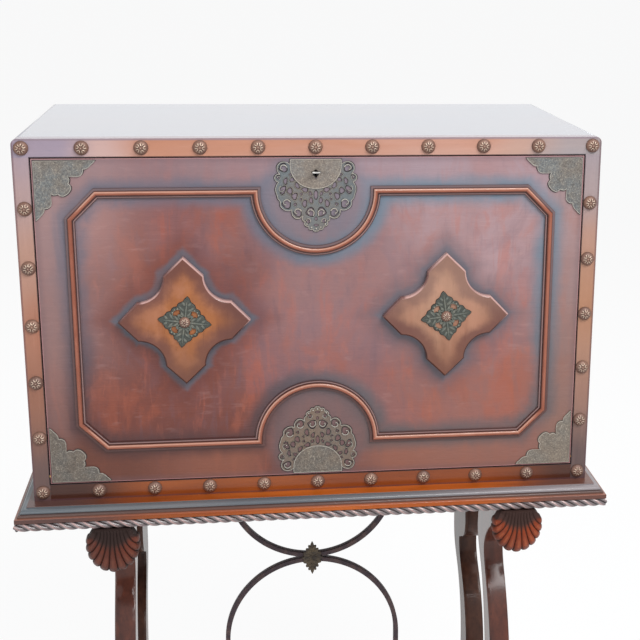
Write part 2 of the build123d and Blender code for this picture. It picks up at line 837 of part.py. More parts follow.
def leg(front_lines, back_line):
    """A sawn leg. Each line is a smooth edge, and straight cuts join them."""
    lines = [[(face_y + y, case_z - drop) for y, drop in line] for line in front_lines]
    lines.append([(face_y + y, case_z - drop) for y, drop in reversed(back_line)])
    edges = [Spline(*line) for line in lines]
    for line, following in zip(lines, lines[1:] + lines[:1]):
        edges.append(Line(line[-1], following[0]))
    return sideways(make_face(edges), trestle_x[0], trestle_thickness)


front_leg = leg([front_leg_front], front_leg_back)
rear_leg = leg([rear_leg_head, rear_leg_shaft], rear_leg_back)
pair("front_leg", front_leg)
pair("rear_leg", rear_leg)

side_rail_z = (case_z - side_rail_top - side_rail_height, case_z - side_rail_top)
side_rail = block(
    (trestle_spread - stretcher_thickness / 2, trestle_spread + stretcher_thickness / 2),
    (face_y + side_rail_start, face_y + side_rail_end),
    side_rail_z,
)
side_rail = side_rail - front_leg - rear_leg
twins("trestle_rails", side_rail.solids().sort_by(SortBy.VOLUME)[-1])

foot = block(
    (trestle_spread - foot_width / 2, trestle_spread + foot_width / 2),
    (face_y - foot_front_reach, back_y), (0, foot_height),
)
foot_top_ends = foot.edges().filter_by(Axis.X).group_by(Axis.Z)[-1]
twins("trestle_feet", chamfer(foot_top_ends, foot_end_cut))

brace_mid_y = face_y + brace_y_from_face
brace_y = (brace_mid_y - brace_depth / 2, brace_mid_y + brace_depth / 2)
stretcher_x = trestle_spread - stretcher_thickness / 2
stretcher_mid_z = (side_rail_z[0] + side_rail_z[1]) / 2
stretcher_z = (stretcher_mid_z - stretcher_height / 2, stretcher_mid_z + stretcher_height / 2)
part_nodes["stretcher"] = block(
    (-stretcher_x, stretcher_x),
    (brace_mid_y - stretcher_thickness / 2, brace_mid_y + stretcher_thickness / 2),
    stretcher_z,
)


def shell_outline():
    """A scallop hanging from its neck: lobes round the fan, straight neck above."""
    centre_z = case_z - shell_centre_drop
    lobe_inner = shell_radius - shell_lobe_rise
    start = radians(shell_fan_start)
    sweep = radians(shell_fan_sweep)
    points = []
    for i in range(shell_rib_count + 1):
        angle = start + sweep * i / shell_rib_count
        points.append((lobe_inner * cos(angle), centre_z + lobe_inner * sin(angle)))
    lines = []
    for i in range(shell_rib_count):
        angle = start + sweep * (i + 0.5) / shell_rib_count
        crest = (shell_radius * cos(angle), centre_z + shell_radius * sin(angle))
        lines.append(ThreePointArc(points[i], crest, points[i + 1]))
    neck_top = loper_z[1]
    lines.append(Polyline(
        points[-1], (shell_neck_half_width, neck_top), (-shell_neck_half_width, neck_top), points[0]
    ))
    return Pos(trestle_spread, 0) * make_face(lines)


shell_back_y = loper_y[0]
shell_dome = Pos(trestle_spread, shell_back_y, case_z - shell_centre_drop) * scale(
    Sphere(1.0), by=(shell_dome_half_width, shell_thickness, shell_dome_half_height)
)
shell = facing(shell_outline(), shell_back_y, shell_thickness) & shell_dome
pair("loper_shell", shell)

# ---------------------------------------------------------------- iron brace


def half_ring(radius, kiss_z, up, foot_z_level):
    """A bar bent to a half ring from kiss_z, with straight ends and flat feet."""
    sign = 1 if up else -1
    centre_z = kiss_z + sign * radius
    inner = radius - brace_bar
    ring = Pos(0, centre_z) * (Circle(radius) - Circle(inner))
    cut_z = centre_z + sign * 2 * radius
    ring = ring - Pos(0, cut_z) * Rectangle(6 * radius, 4 * radius)
    face = ring
    for side in (-1, 1):
        leg_mid = (centre_z + foot_z_level) / 2
        stem = Pos(side * (radius - brace_bar / 2), leg_mid) * Rectangle(
            brace_bar, abs(foot_z_level - centre_z)
        )
        pad = Pos(side * (radius - brace_foot_length / 2), foot_z_level - sign * brace_foot_thickness / 2)
        face = face + stem + pad * Rectangle(brace_foot_length, brace_foot_thickness)
    return facing(face, brace_y[1], brace_depth)


kiss_z = case_z - brace_kiss_drop
part_nodes["iron_arc_upper"] = half_ring(brace_upper_radius, kiss_z, True, head_z[1])
part_nodes["iron_arc_lower"] = half_ring(brace_lower_radius, kiss_z, False, stretcher_z[1])


# One quarter of the leaf's edge from its tip to its side, as shares of its half sizes
leaf_edge = (
    (0.0, 1.0), (0.28, 0.74), (0.52, 0.7), (0.58, 0.45), (0.86, 0.36), (0.8, 0.12), (1.0, 0.0),
)


def leaf_outline():
    """A palmette with a pointed tip above and below and three lobes each side."""
    half = leaf_width / 2
    tall = leaf_height / 2
    right = [(x * half, z * tall) for x, z in leaf_edge]
    lower = [(x, -z) for x, z in reversed(right[:-1])]
    left = [(-x, z) for x, z in reversed((right + lower)[1:-1])]
    return Pos(0, kiss_z) * make_face(Polyline(*(right + lower + left), close=True))


part_nodes["leaf_ornament"] = facing(leaf_outline(), brace_y[0], leaf_thickness)


def foot_screw(x, z, up):
    """A round-head screw that holds one foot of the brace."""
    sign = 1 if up else -1
    seat_z = z - sign * brace_foot_thickness
    shank_length = screw_shank_length + brace_foot_thickness
    head = Pos(x, brace_mid_y, seat_z - sign * screw_head_height / 2)
    shank = Pos(x, brace_mid_y, seat_z + sign * shank_length / 2)
    return head * Cylinder(screw_head_radius, screw_head_height) + shank * Cylinder(
        screw_shank_radius, shank_length
    )


upper_screw_x = brace_upper_radius - brace_foot_length + screw_inset
lower_screw_x = brace_lower_radius - brace_foot_length + screw_inset
screws = []
for side in (-1, 1):
    screws.append(foot_screw(side * upper_screw_x, head_z[1], True))
    screws.append(foot_screw(side * lower_screw_x, stretcher_z[1], False))
part_nodes["brace_screws"] = group(screws)
for name in ("iron_arc_upper", "iron_arc_lower", "platform_underframe", "stretcher"):
    piece = part_nodes[name]
    for screw in screws:
        piece = piece - screw
    part_nodes[name] = piece

# ---------------------------------------------------------------- files

os.makedirs("parts", exist_ok=True)
for name, shape in part_nodes.items():
    export_step(shape, "parts/" + name + ".step")
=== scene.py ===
from math import atan2, cos, exp, hypot, pi, radians, sin, sqrt

import bmesh
import bpy
from mathutils import Matrix, Vector


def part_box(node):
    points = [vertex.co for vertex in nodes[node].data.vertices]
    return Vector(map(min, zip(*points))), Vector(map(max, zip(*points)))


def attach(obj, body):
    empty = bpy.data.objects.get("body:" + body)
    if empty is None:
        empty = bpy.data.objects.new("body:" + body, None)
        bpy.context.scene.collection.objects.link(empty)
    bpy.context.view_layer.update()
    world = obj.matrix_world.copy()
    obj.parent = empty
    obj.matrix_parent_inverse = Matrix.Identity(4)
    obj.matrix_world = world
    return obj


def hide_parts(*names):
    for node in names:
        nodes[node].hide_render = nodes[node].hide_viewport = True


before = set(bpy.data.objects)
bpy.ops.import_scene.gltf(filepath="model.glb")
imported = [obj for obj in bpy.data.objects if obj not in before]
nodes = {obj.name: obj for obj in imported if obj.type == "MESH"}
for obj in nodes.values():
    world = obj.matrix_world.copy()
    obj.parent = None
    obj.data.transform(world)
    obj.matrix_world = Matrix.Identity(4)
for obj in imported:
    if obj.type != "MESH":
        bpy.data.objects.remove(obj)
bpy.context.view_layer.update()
scene = bpy.context.scene
mm = 0.001

# ---- camera and lamps
# The cabinet is looked at from eye height, two metres off and a little left of its
# middle. A broad lamp hangs over and before it, as open sky would, a weak one fills from
# the left, and one behind keeps the back from going dark.

camera_place = (-0.1221, -2.1383, 1.5214)
yaw = radians(8.642)
pitch = radians(15.345)
roll = radians(0.931)
ahead = Vector((sin(yaw) * cos(pitch), cos(yaw) * cos(pitch), -sin(pitch)))
level = Vector((cos(yaw), -sin(yaw), 0))
upright = level.cross(ahead)
across = level * cos(roll) + upright * sin(roll)
above = upright * cos(roll) - level * sin(roll)
camera = bpy.data.objects.new("camera", bpy.data.cameras.new("camera"))
scene.collection.objects.link(camera)
camera.data.lens = 74.2276
camera.data.shift_x = -0.17
camera.matrix_world = (
    Matrix.Translation(camera_place) @ Matrix((across, above, -ahead)).transposed().to_4x4()
)
scene.camera = camera
scene.view_settings.view_transform = "Standard"


def lamp(name, place, target, size, power):
    """A soft rectangular lamp that faces target."""
    data = bpy.data.lights.new(name, "AREA")
    data.shape = "RECTANGLE"
    data.size, data.size_y = size
    data.energy = power
    made = bpy.data.objects.new(name, data)
    scene.collection.objects.link(made)
    aim = (Vector(target) - Vector(place)).to_track_quat("-Z", "Y")
    made.matrix_world = Matrix.Translation(place) @ aim.to_matrix().to_4x4()


lamp("key_lamp", (1.3, -2.3, 3.6), (0, -0.1, 0.9), (2.4, 1.4), 130)
lamp("fill_lamp", (-2.6, -2.6, 1.7), (0, 0, 0.8), (2.0, 2.0), 26)
lamp("rear_lamp", (0.4, 2.2, 3.3), (0, 0.2, 0.8), (2.4, 1.6), 45)

# ---- floor and surround
# A plain pale floor under a white surround. Only what the camera and the polish see of
# them is white; the light that the surround gives is weaker and a little cool.

ambient_level = 0.42
shown_level = 1.0
floor_size = 300.0
floor_glow = 0.9


class Link:
    """The output of a node in a finish. Arithmetic on it adds Math nodes."""

    def __init__(self, finish, socket):
        self.finish = finish
        self.socket = socket

    def maths(self, operation, *others):
        sockets = dict(enumerate((self, *others)))
        return self.finish.node("ShaderNodeMath", {"operation": operation}, sockets)

    def __add__(self, other):
        return self.maths("ADD", other)

    def __sub__(self, other):
        return self.maths("SUBTRACT", other)

    def __rsub__(self, other):
        return (self * -1).maths("ADD", other)

    def __mul__(self, other):
        return self.maths("MULTIPLY", other)

    def __truediv__(self, other):
        return self.maths("DIVIDE", other)

    def __pow__(self, power):
        return self.maths("POWER", power)

    def __abs__(self):
        return self.maths("ABSOLUTE")

    __radd__ = __add__
    __rmul__ = __mul__

    def most(self, other):
        return self.maths("MAXIMUM", other)

    def least(self, other):
        return self.maths("MINIMUM", other)

    def step(self, low, high):
        """Rises smoothly from 0 at low to 1 at high, or falls where low is the larger."""
        if low > high:
            return 1 - self.step(high, low)
        sockets = {"Value": self, "From Min": low, "From Max": high}
        return self.finish.node("ShaderNodeMapRange", {"interpolation_type": "SMOOTHSTEP"}, sockets)

    def shades(self, *stops):
        """Runs through the tones of stops, (value, tone) pairs in rising order."""
        colour = stops[0][1]
        for (low, _), (high, tone) in zip(stops, stops[1:]):
            colour = self.finish.mix(self.step(low, high), colour, tone)
        return colour


class Finish:
    """A procedural material, or the surround. Tones are display values, 0 to 255."""

    def __init__(self, name, world=None):
        self.material = world or bpy.data.materials.new(name)
        self.material.use_nodes = True
        self.tree = self.material.node_tree
        self.shader = self.tree.nodes.get("Principled BSDF")

    def feed(self, socket, value):
        if isinstance(value, Link):
            self.tree.links.new(value.socket, socket)
        elif socket.type == "RGBA":
            socket.default_value = (*(linear(c / 255) for c in value), 1)
        else:
            socket.default_value = value

    def node(self, kind, settings=(), sockets=(), output=0):
        """Adds a node: settings first, then its sockets; returns one of its outputs."""
        made = self.tree.nodes.new(kind)
        for key, value in dict(settings).items():
            setattr(made, key, value)
        for key, value in dict(sockets).items():
            self.feed(made.inputs[key], value)
        return Link(self, made.outputs[output])

    def place(self):
        """The point's X, Y and Z in metres."""
        point = self.node("ShaderNodeTexCoord", output="Object")
        return [self.node("ShaderNodeSeparateXYZ", sockets={0: point}, output=i) for i in range(3)]

    def noise(self, scale, squeeze=(1, 1, 1), detail=3.0, rough=0.55, shift=(0, 0, 0), bend=0.0):
        """A noise of scale patches a metre, drawn out where squeeze is under 1."""
        point = self.node("ShaderNodeTexCoord", output="Object")
        sockets = {"Vector": point, "Scale": squeeze, "Location": shift}
        point = self.node("ShaderNodeMapping", sockets=sockets)
        sockets = {
            "Vector": point, "Scale": scale, "Detail": detail, "Roughness": rough, "Distortion": bend,
        }
        return self.node("ShaderNodeTexNoise", sockets=sockets)

    def seen(self):
        """1 for what the camera and the polish see, 0 for the light that things get."""
        camera = self.node("ShaderNodeLightPath", output="Is Camera Ray")
        return camera.most(self.node("ShaderNodeLightPath", output="Is Glossy Ray"))

    def mark(self, name):
        """A number that the piece's mesh carries on its points."""
        return self.node("ShaderNodeAttribute", {"attribute_name": name}, output="Fac")

    def mix(self, share, first, second):
        sockets = {0: share, 6: first, 7: second}
        return self.node("ShaderNodeMix", {"data_type": "RGBA"}, sockets, output=2)

    def glaze(self, colour, *layers):
        """Lays (share, tone) layers over a colour, one after the other."""
        for share, tone in layers:
            colour = self.mix(share, colour, tone)
        return colour

    def bump(self, height, depth):
        """A relief that stands depth metres high where height is 1."""
        return self.node("ShaderNodeBump", sockets={"Height": height, "Distance": depth})

    def wear(self, **values):
        """Feeds the shader's sockets, spaces in their names written as underscores."""
        for key, value in values.items():
            self.feed(self.shader.inputs[key.replace("_", " ")], value)


def linear(c):
    """The linear value of a display value, both 0 to 1."""
    return c / 12.92 if c <= 0.04045 else ((c + 0.055) / 1.055) ** 2.4


def mesh_of(work, name="draft"):
    """Turns a bmesh into a mesh and frees it."""
    mesh = bpy.data.meshes.new(name)
    work.to_mesh(mesh)
    work.free()
    return mesh


scene.world = bpy.data.worlds.new("surround")
surround = Finish("surround", scene.world)
levels = {"Value": surround.seen(), "To Min": ambient_level, "To Max": shown_level}
background = surround.tree.nodes["Background"]
surround.feed(background.inputs["Strength"], surround.node("ShaderNodeMapRange", sockets=levels))
background.inputs["Color"].default_value = (0.97, 0.985, 1.0, 1)
floor_plan = bmesh.new()
bmesh.ops.create_grid(floor_plan, x_segments=1, y_segments=1, size=floor_size)
floor = bpy.data.objects.new("floor", mesh_of(floor_plan, "floor"))
scene.collection.objects.link(floor)
floor_paint = Finish("floor_paint")
cloud = floor_paint.noise(1.5)
floor_paint.wear(Base_Color=floor_paint.mix(cloud, (238, 240, 243), (244, 245, 247)), Roughness=0.9)
glow = floor_paint.node("ShaderNodeEmission", sockets={"Color": (255, 255, 255), "Strength": 1.0})
matt = Link(floor_paint, floor_paint.shader.outputs["BSDF"])
sockets = {0: floor_paint.seen() * floor_glow, 1: matt, 2: glow}
surface = floor_paint.node("ShaderNodeMixShader", sockets=sockets)
floor_paint.feed(floor_paint.tree.nodes["Material Output"].inputs["Surface"], surface)
floor.data.materials.append(floor_paint.material)

# ---- feet, rails, heads and legs
# The trestle stand: sledge feet, rails, scrolled legs and heads of solid mahogany, sawn
# from boards 34 mm thick, tenoned together and stained dark. Edges are rubbed lighter.

stand_tones = ((104, 54, 38), (54, 28, 24))
rear_tones = ((92, 58, 44), (44, 28, 24))
weld_reach = 0.01 * mm
eased_angle = radians(35)


def wood(name, tones, grain, gloss=0.34, coat=0.5, shade=None, offset=0.0, bare=0.15):
    """Polished mahogany of a light and a dark tone, its grain along one axis."""
    finish = Finish(name + "_wood")
    light, dark = tones
    drawn_out = {"X": (0.07, 1, 1), "Y": (1, 0.07, 1), "Z": (1, 1, 0.07)}[grain]
    moved = (offset, offset * 0.7, offset * 1.3)
    figure = finish.noise(9, drawn_out, detail=4, shift=moved, bend=0.4)
    streaks = finish.noise(90, drawn_out, detail=5, rough=0.62, shift=moved)
    pores = finish.noise(520, drawn_out, detail=2, shift=moved).step(0.6, 0.75)
    depth = (figure - 0.5) * 1.5 + (streaks - 0.5) * 0.9 + 0.5
    pore_tone = finish.mix(0.6, dark, (0, 0, 0))
    colour = finish.mix(pores * 0.4, depth.shades((0.05, dark), (0.95, light)), pore_tone)
    if shade:
        colour = shade(finish, colour)
    finish.wear(
        Base_Color=colour, Roughness=(streaks - 0.5) * 0.14 + gloss, Coat_Weight=coat,
        Coat_Roughness=0.14, Coat_IOR=1.5, Specular_IOR_Level=bare,
        Normal=finish.bump(streaks * 0.5 - pores, 0.00007),
    )
    return finish


def dress(part, finish, edge=0.0):
    """Gives a CAD node its finish, and eases its edges by edge mm."""
    made = nodes[part]
    made.data.materials.clear()
    made.data.materials.append(finish.material)
    if edge:
        weld = made.modifiers.new("weld", "WELD")
        weld.merge_threshold = weld_reach
        ease = made.modifiers.new("ease", "BEVEL")
        ease.width = edge * mm
        ease.segments = 2
        ease.limit_method = "ANGLE"
        ease.angle_limit = eased_angle
        ease.harden_normals = True


for k, part in enumerate(("trestle_feet", "trestle_heads", "trestle_rails")):
    dress(part, wood(part, stand_tones, "Y", offset=k), 1.5)
for k, side in enumerate(("left", "right")):
    part = "front_leg_" + side
    dress(part, wood(part, stand_tones, "Z", offset=k), 1.2)
    part = "rear_leg_" + side
    dress(part, wood(part, rear_tones, "Z", coat=0.2, offset=k + 2), 1.2)
dress("stretcher", wood("stretcher", stand_tones, "X"), 1.5)

# ---- iron brace
# Two bars of square iron bent cold to half rings, kissing in the middle and screwed
# under the platform and into the stretcher. Painted brown-black long ago and worn.

brace_iron = Finish("brace_iron")
rust = brace_iron.noise(60, detail=6, rough=0.7)
grit = brace_iron.noise(900, detail=3)
tone = rust.shades((0.4, (62, 50, 56)), (0.7, (98, 78, 74)))
brace_iron.wear(
    Base_Color=brace_iron.mix(grit.step(0.55, 0.75) * 0.5, tone, (40, 32, 36)), Metallic=0.35,
    Roughness=rust * 0.25 + 0.45, Normal=brace_iron.bump(grit + rust, 0.0003),
)
for part in ("iron_arc_upper", "iron_arc_lower"):
    dress(part, brace_iron, 0.8)
dress("brace_screws", brace_iron)

# ---- leaf on the brace
# A cast palmette with toothed edges and a midrib, riveted over the place where the two
# bars meet.

leaf_thick = 3.0
midrib_radius = 1.6
vein_radius = 1.1
sharp_angle = radians(40)


def add_mesh(work, source, place):
    """Adds a mesh to work, moved by place, with its faces outward when place mirrors."""
    old_points = len(work.verts)
    old_faces = len(work.faces)
    work.from_mesh(source)
    work.verts.ensure_lookup_table()
    work.faces.ensure_lookup_table()
    bmesh.ops.transform(work, matrix=place, verts=work.verts[old_points:])
    if place.determinant() < 0:
        bmesh.ops.reverse_faces(work, faces=work.faces[old_faces:])


def add_part(work, part, place):
    """Adds another bmesh to work and frees it."""
    mesh = mesh_of(part)
    add_mesh(work, mesh, place)
    bpy.data.meshes.remove(mesh)


def add_curve(work, curve, place):
    """Makes a mesh of a curve and adds it to work."""
    holder = bpy.data.objects.new("pattern", curve)
    pattern = bpy.data.meshes.new_from_object(holder)
    part = bmesh.new()
    part.from_mesh(pattern)
    bmesh.ops.remove_doubles(part, verts=part.verts, dist=0.0005)
    bmesh.ops.recalc_face_normals(part, faces=part.faces)
    add_part(work, part, place)
    bpy.data.objects.remove(holder)
    bpy.data.curves.remove(curve)
    bpy.data.meshes.remove(pattern)


def thread(curve, points, closed):
    """A spline through (x, y, height, radius) in mm. A radius below 0 is a sharp corner."""
    spline = curve.splines.new("BEZIER")
    spline.bezier_points.add(len(points) - 1)
    spline.use_cyclic_u = closed
    spline.resolution_u = 4
    for knot, (x, y, lift, radius) in zip(spline.bezier_points, points):
        knot.co = (x, y, lift)
        knot.radius = abs(radius)
        knot.handle_left_type = knot.handle_right_type = "AUTO" if radius > 0 else "VECTOR"


def sheet_of(work, place, loops, thickness, edge=0.25):
    """Cuts a flat sheet: loops are closed lists of (x, y) or (x, y, "corner") in mm."""
    curve = bpy.data.curves.new("sheet", "CURVE")
    curve.dimensions = "2D"
    curve.fill_mode = "BOTH"
    curve.extrude = thickness / 2 - edge
    curve.bevel_depth = edge
    curve.offset = -edge
    curve.bevel_resolution = 0
    for loop in loops:
        thread(curve, [(p[0], p[1], 0, -1 if len(p) > 2 else 1) for p in loop], True)
    add_curve(work, curve, place @ Matrix.Translation((0, 0, thickness / 2)))


def strand_of(work, place, points, radius, lift=0.0, closed=False, taper=None):
    """Lays a round strand along (x, y) points in mm, its middle lift mm above place."""
    curve = bpy.data.curves.new("strand", "CURVE")
    curve.dimensions = "3D"
    curve.bevel_depth = radius
    curve.bevel_resolution = 1
    curve.use_fill_caps = not closed
    sizes = taper or [1] * len(points)
    knots = [(p[0], p[1], lift, -s if len(p) > 2 else s) for p, s in zip(points, sizes)]
    thread(curve, knots, closed)
    add_curve(work, curve, place)


def piece(name, work, finish, slot, body, *stands_for):
    """Makes an object of work, with its finish and body, and hides the nodes it stands for; slot is not
    used.
    """
    data = mesh_of(work, name)
    data.shade_smooth()
    data.set_sharp_from_angle(angle=sharp_angle)
    data.materials.append(finish.material)
    made = bpy.data.objects.new(name, data)
    scene.collection.objects.link(made)
    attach(made, body)
    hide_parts(*stands_for)


def facing(x, y, z, turn=0.0, flip=(1, 1)):
    """Stands a drawing in mm up at (x, y, z) metres, its face towards the front."""
    return (
        Matrix.Translation((x, y, z)) @ Matrix.Rotation(pi / 2, 4, "X")
        @ Matrix.Rotation(turn, 4, "Z") @ Matrix.Diagonal((flip[0] * mm, flip[1] * mm, mm, 1))
    )


def both_ways(half):
    """A closed outline from its right half, listed from the top down."""
    return half + [(-p[0], *p[1:]) for p in reversed(half) if abs(p[0]) > 0.01]


leaf_low, leaf_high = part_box("leaf_ornament")
leaf_tip = [
    (0, 31, "c"), (2.6, 25.5), (3.2, 23, "c"), (6.6, 23.2), (6.2, 17.5, "c"), (10.6, 17.2),
    (9.8, 11, "c"), (15.2, 9), (14.5, 3, "c"),
]
leaf_half = leaf_tip + [(18, 0.5)] + [(p[0], -p[1], *p[2:]) for p in reversed(leaf_tip)]
leaf_veins = ((22, 5), (15, 8.5), (7, 12.5), (-2, 14), (-9, 12), (-16, 8), (-22, 5))
leaf = bmesh.new()
leaf_seat = facing(0, leaf_high.y, (leaf_low.z + leaf_high.z) / 2)
sheet_of(leaf, leaf_seat, [both_ways(leaf_half)], leaf_thick, edge=0.6)
midrib = [(0, -28), (0, 0), (0, 28)]
strand_of(leaf, leaf_seat, midrib, midrib_radius, lift=2.6, taper=[0.3, 1, 0.3])
for side in (-1, 1):
    for height, reach in leaf_veins:
        start = height - 5 if height > 0 else height + 5
        bend = (side * reach * 0.5, (start + height) / 2 + 1)
        vein = [(side * 0.6, start), bend, (side * reach, height)]
        strand_of(leaf, leaf_seat, vein, vein_radius, lift=2.7, taper=[0.8, 1, 0.3])
leaf_iron = Finish("leaf_iron")
rust = leaf_iron.noise(90, detail=6, rough=0.7)
leaf_iron.wear(
    Base_Color=rust.shades((0.35, (58, 50, 44)), (0.7, (104, 90, 70))), Metallic=0.35,
    Roughness=rust * 0.25 + 0.4, Normal=leaf_iron.bump(rust, 0.0004),
)
piece("leaf", leaf, leaf_iron, "brace_iron", "cabinet", "leaf_ornament")

# ---- platform and rope
# The board under the case: a mahogany board with an ovolo, a cove and a fascia run round
# its front and ends, on a plain under-frame. The ovolo carries a painted blue-grey sky
# reflection, the quirk and the cove painted shade, and the edges thin painted highlights.
# A carved three-strand rope is pinned under its edge and mitred at the corners.

platform_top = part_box("platform_board")[1].z


def platform_tone_and_light(finish, colour):
    """Bare wood on the flat and the fascia, painted reflection and shade between, greyer at the corners.
    """
    x, y, z = finish.place()
    drop = (platform_top - z) / mm
    cloud = finish.noise(14, (0.3, 1, 1), detail=4)
    corner = (abs(x) + (cloud - 0.5) * 0.12).step(0.25, 0.38)
    # Painted sky reflection on the ovolo, paler towards the right end.
    upper = cloud.shades((0.3, (82, 94, 102)), (0.7, (104, 108, 112)))
    upper = finish.mix(x.step(0.1, 0.42) * 0.75, upper, (152, 142, 144))
    # Under the ovolo, painted shade: near black in the quirk, grey-brown in the cove.
    hollows = drop.shades(
        (0.4, upper), (7.6, upper), (8.0, (40, 30, 32)), (8.7, (84, 66, 62)), (12.4, (96, 70, 62)),
    )
    # rim: a painted highlight along the top edge of the fascia.
    rim = drop.step(12.6, 12.9) * drop.step(14.2, 13.4)
    return finish.glaze(
        colour,
        (x.step(0.0, -0.35) * 0.65, (84, 38, 22)),
        (corner * 0.8, (74, 60, 60)),
        (drop.step(0.3, 0.8) * drop.step(13.0, 12.6) * 0.95, hollows),
        # A painted highlight along the eased front edge of the flat.
        (drop.step(0.5, 0.2) * drop.step(0.0, 0.15) * 0.6, (190, 150, 138)),
        (rim * 0.45, (168, 112, 92)),
    )


platform_tones = ((190, 100, 34), (146, 66, 16))
platform_wood = wood("platform", platform_tones, "X", gloss=0.3, coat=0.35, shade=platform_tone_and_light)
dress("platform_board", platform_wood, 0.6)
dress("platform_underframe", wood("underframe", stand_tones, "X", offset=2), 1)

rope_radius = 7.0
strand_count = 3
strand_radius = 3.75
strand_offset = rope_radius - strand_radius
rope_lead = 53.0
steps_a_lead = 20
points_round = 36
overrun = 0.01
rope_low, rope_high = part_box("rope_front")
side_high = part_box("rope_sides")[1]
rope_z = (rope_low.z + rope_high.z) / 2
corner_x = rope_high.x - rope_radius * mm
corner_y = rope_low.y + rope_radius * mm


def rope(length, place):
    """A rope along X from 0 to length metres, laid by turning a three-lobed section."""
    work = bmesh.new()
    crest = work.verts.layers.float.new("crest")
    bmesh.ops.create_circle(work, segments=points_round, radius=1)
    for point in work.verts:
        angle = atan2(point.co.y, point.co.x)
        nearest = min(
            abs((angle - pi * 2 / strand_count * k + pi) % (2 * pi) - pi) for k in range(strand_count)
        )
        aside = strand_offset * sin(nearest)
        reach = strand_offset * cos(nearest) + sqrt(strand_radius ** 2 - aside ** 2)
        point.co = Vector((0, cos(angle), sin(angle))) * reach * mm
        point[crest] = (reach / rope_radius) ** 2
    steps = int(length / mm / rope_lead * steps_a_lead)
    bmesh.ops.spin(
        work, geom=work.verts[:] + work.edges[:], cent=(0, 0, 0), axis=(1, 0, 0),
        dvec=(length / steps, 0, 0), angle=2 * pi * length / mm / rope_lead, steps=steps,
        use_merge=False, use_normal_flip=False, use_duplicate=False,
    )
    bmesh.ops.transform(work, matrix=place, verts=work.verts)
    return work


def rim_of(work):
    """The open edges of a bmesh."""
    return [e for e in work.edges if e.is_boundary]


def mitre(work, x, outward):
    """Cuts a rope on the slant where it meets its neighbour at a corner, and caps it."""
    cut = bmesh.ops.bisect_plane(
        work, geom=work.verts[:] + work.edges[:] + work.faces[:],
        plane_co=(x, corner_y, rope_z), plane_no=outward, clear_outer=True,
    )
    edges = [e for e in cut["geom_cut"] if isinstance(e, bmesh.types.BMEdge)]
    bmesh.ops.edgeloop_fill(work, edges=edges)


rope_wood = Finish("rope_wood")
crest = rope_wood.mark("crest")
cloud = rope_wood.noise(35, detail=4)
# Painted shade in the valleys between the strands, where crest is low, and a painted highlight along each
# strand's crest.
rope_tone = rope_wood.glaze(
    crest.shades((0.36, (32, 24, 25)), (0.74, (114, 102, 103))),
    (crest.step(0.92, 1.0) * 0.7, (190, 154, 148)),
    (cloud.step(0.45, 0.75) * 0.5, (78, 54, 48)),
)
rope_wood.wear(
    Base_Color=rope_tone, Roughness=0.4 - crest * 0.1, Coat_Weight=0.5, Coat_Roughness=0.2,
    Normal=rope_wood.bump(rope_wood.noise(600, detail=2), 0.00008),
)
front_start = Matrix.Translation((-corner_x - overrun, corner_y, rope_z))
front_rope = rope(corner_x * 2 + overrun * 2, front_start)
mitre(front_rope, corner_x, (1, 1, 0))
mitre(front_rope, -corner_x, (-1, 1, 0))
bmesh.ops.recalc_face_normals(front_rope, faces=front_rope.faces)
piece("front_rope", front_rope, rope_wood, "rope_wood", "cabinet", "rope_front")
side_rope = bmesh.new()
for side in (-1, 1):
    start = Matrix.Translation((side * corner_x, corner_y - overrun, rope_z))
    run = rope(side_high.y - corner_y + overrun, start @ Matrix.Rotation(pi / 2, 4, "Z"))
    mitre(run, side * corner_x, (-side, -1, 0))
    bmesh.ops.edgeloop_fill(run, edges=rim_of(run))
    bmesh.ops.recalc_face_normals(run, faces=run.faces)
    add_part(side_rope, run, Matrix.Identity(4))
piece("side_rope", side_rope, rope_wood, "rope_wood", "cabinet", "rope_sides")

# ---- case boards
# The case is a box of mahogany boards dovetailed at the corners. The top is the most
# polished, its upper face painted pale as a painted sky reflection; the back is plain.

case_tones = ((150, 86, 62), (92, 46, 36))
case_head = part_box("case_top")[1].z


def top_painted_reflection(finish, colour):
    """A painted pale sky reflection in clouds along the grain above, brown on the edges."""
    reflection_cloud = finish.noise(5, (0.35, 1, 1), detail=4)
    pale = reflection_cloud.shades((0.3, (98, 88, 98)), (0.7, (114, 92, 92)))
    return finish.mix((case_head - finish.place()[2]).step(0.0016, 0.0002) * 0.85, colour, pale)


top_wood = wood("top", case_tones, "X", gloss=0.2, coat=1.0, shade=top_painted_reflection, bare=0.9)
top_wood.wear(IOR=2.4, Coat_IOR=2.4)
top_wood.shader.inputs["Specular Tint"].default_value = (0.72, 0.86, 1.0, 1)
dress("case_top", top_wood, 1.5)
for k, part in enumerate(("case_side_left", "case_side_right")):
    dress(part, wood(part, case_tones, "Z", offset=k + 3), 0.6)
dress("case_back", wood("back", case_tones, "X", gloss=0.5, coat=0.1, offset=5), 0.6)

# ---- face frame
# Two stiles and two rails of lighter mahogany round the opening. A painted sky reflection
# hazes them towards the top; they stay a clear orange-brown along the bottom.

case_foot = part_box("face_bottom_rail")[0].z
case_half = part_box("face_top_rail")[1].x
fall_low, fall_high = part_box("fall_panel")
face_y = fall_low.y
opening_gap = 1.5 * mm


def in_opening(x, z):
    """Metres from the edge of the opening: positive on the frame."""
    reach = fall_high.x + opening_gap
    foot = fall_low.z - opening_gap
    head = fall_high.z + opening_gap
    return (abs(x) - reach).most(z - head).most(foot - z)


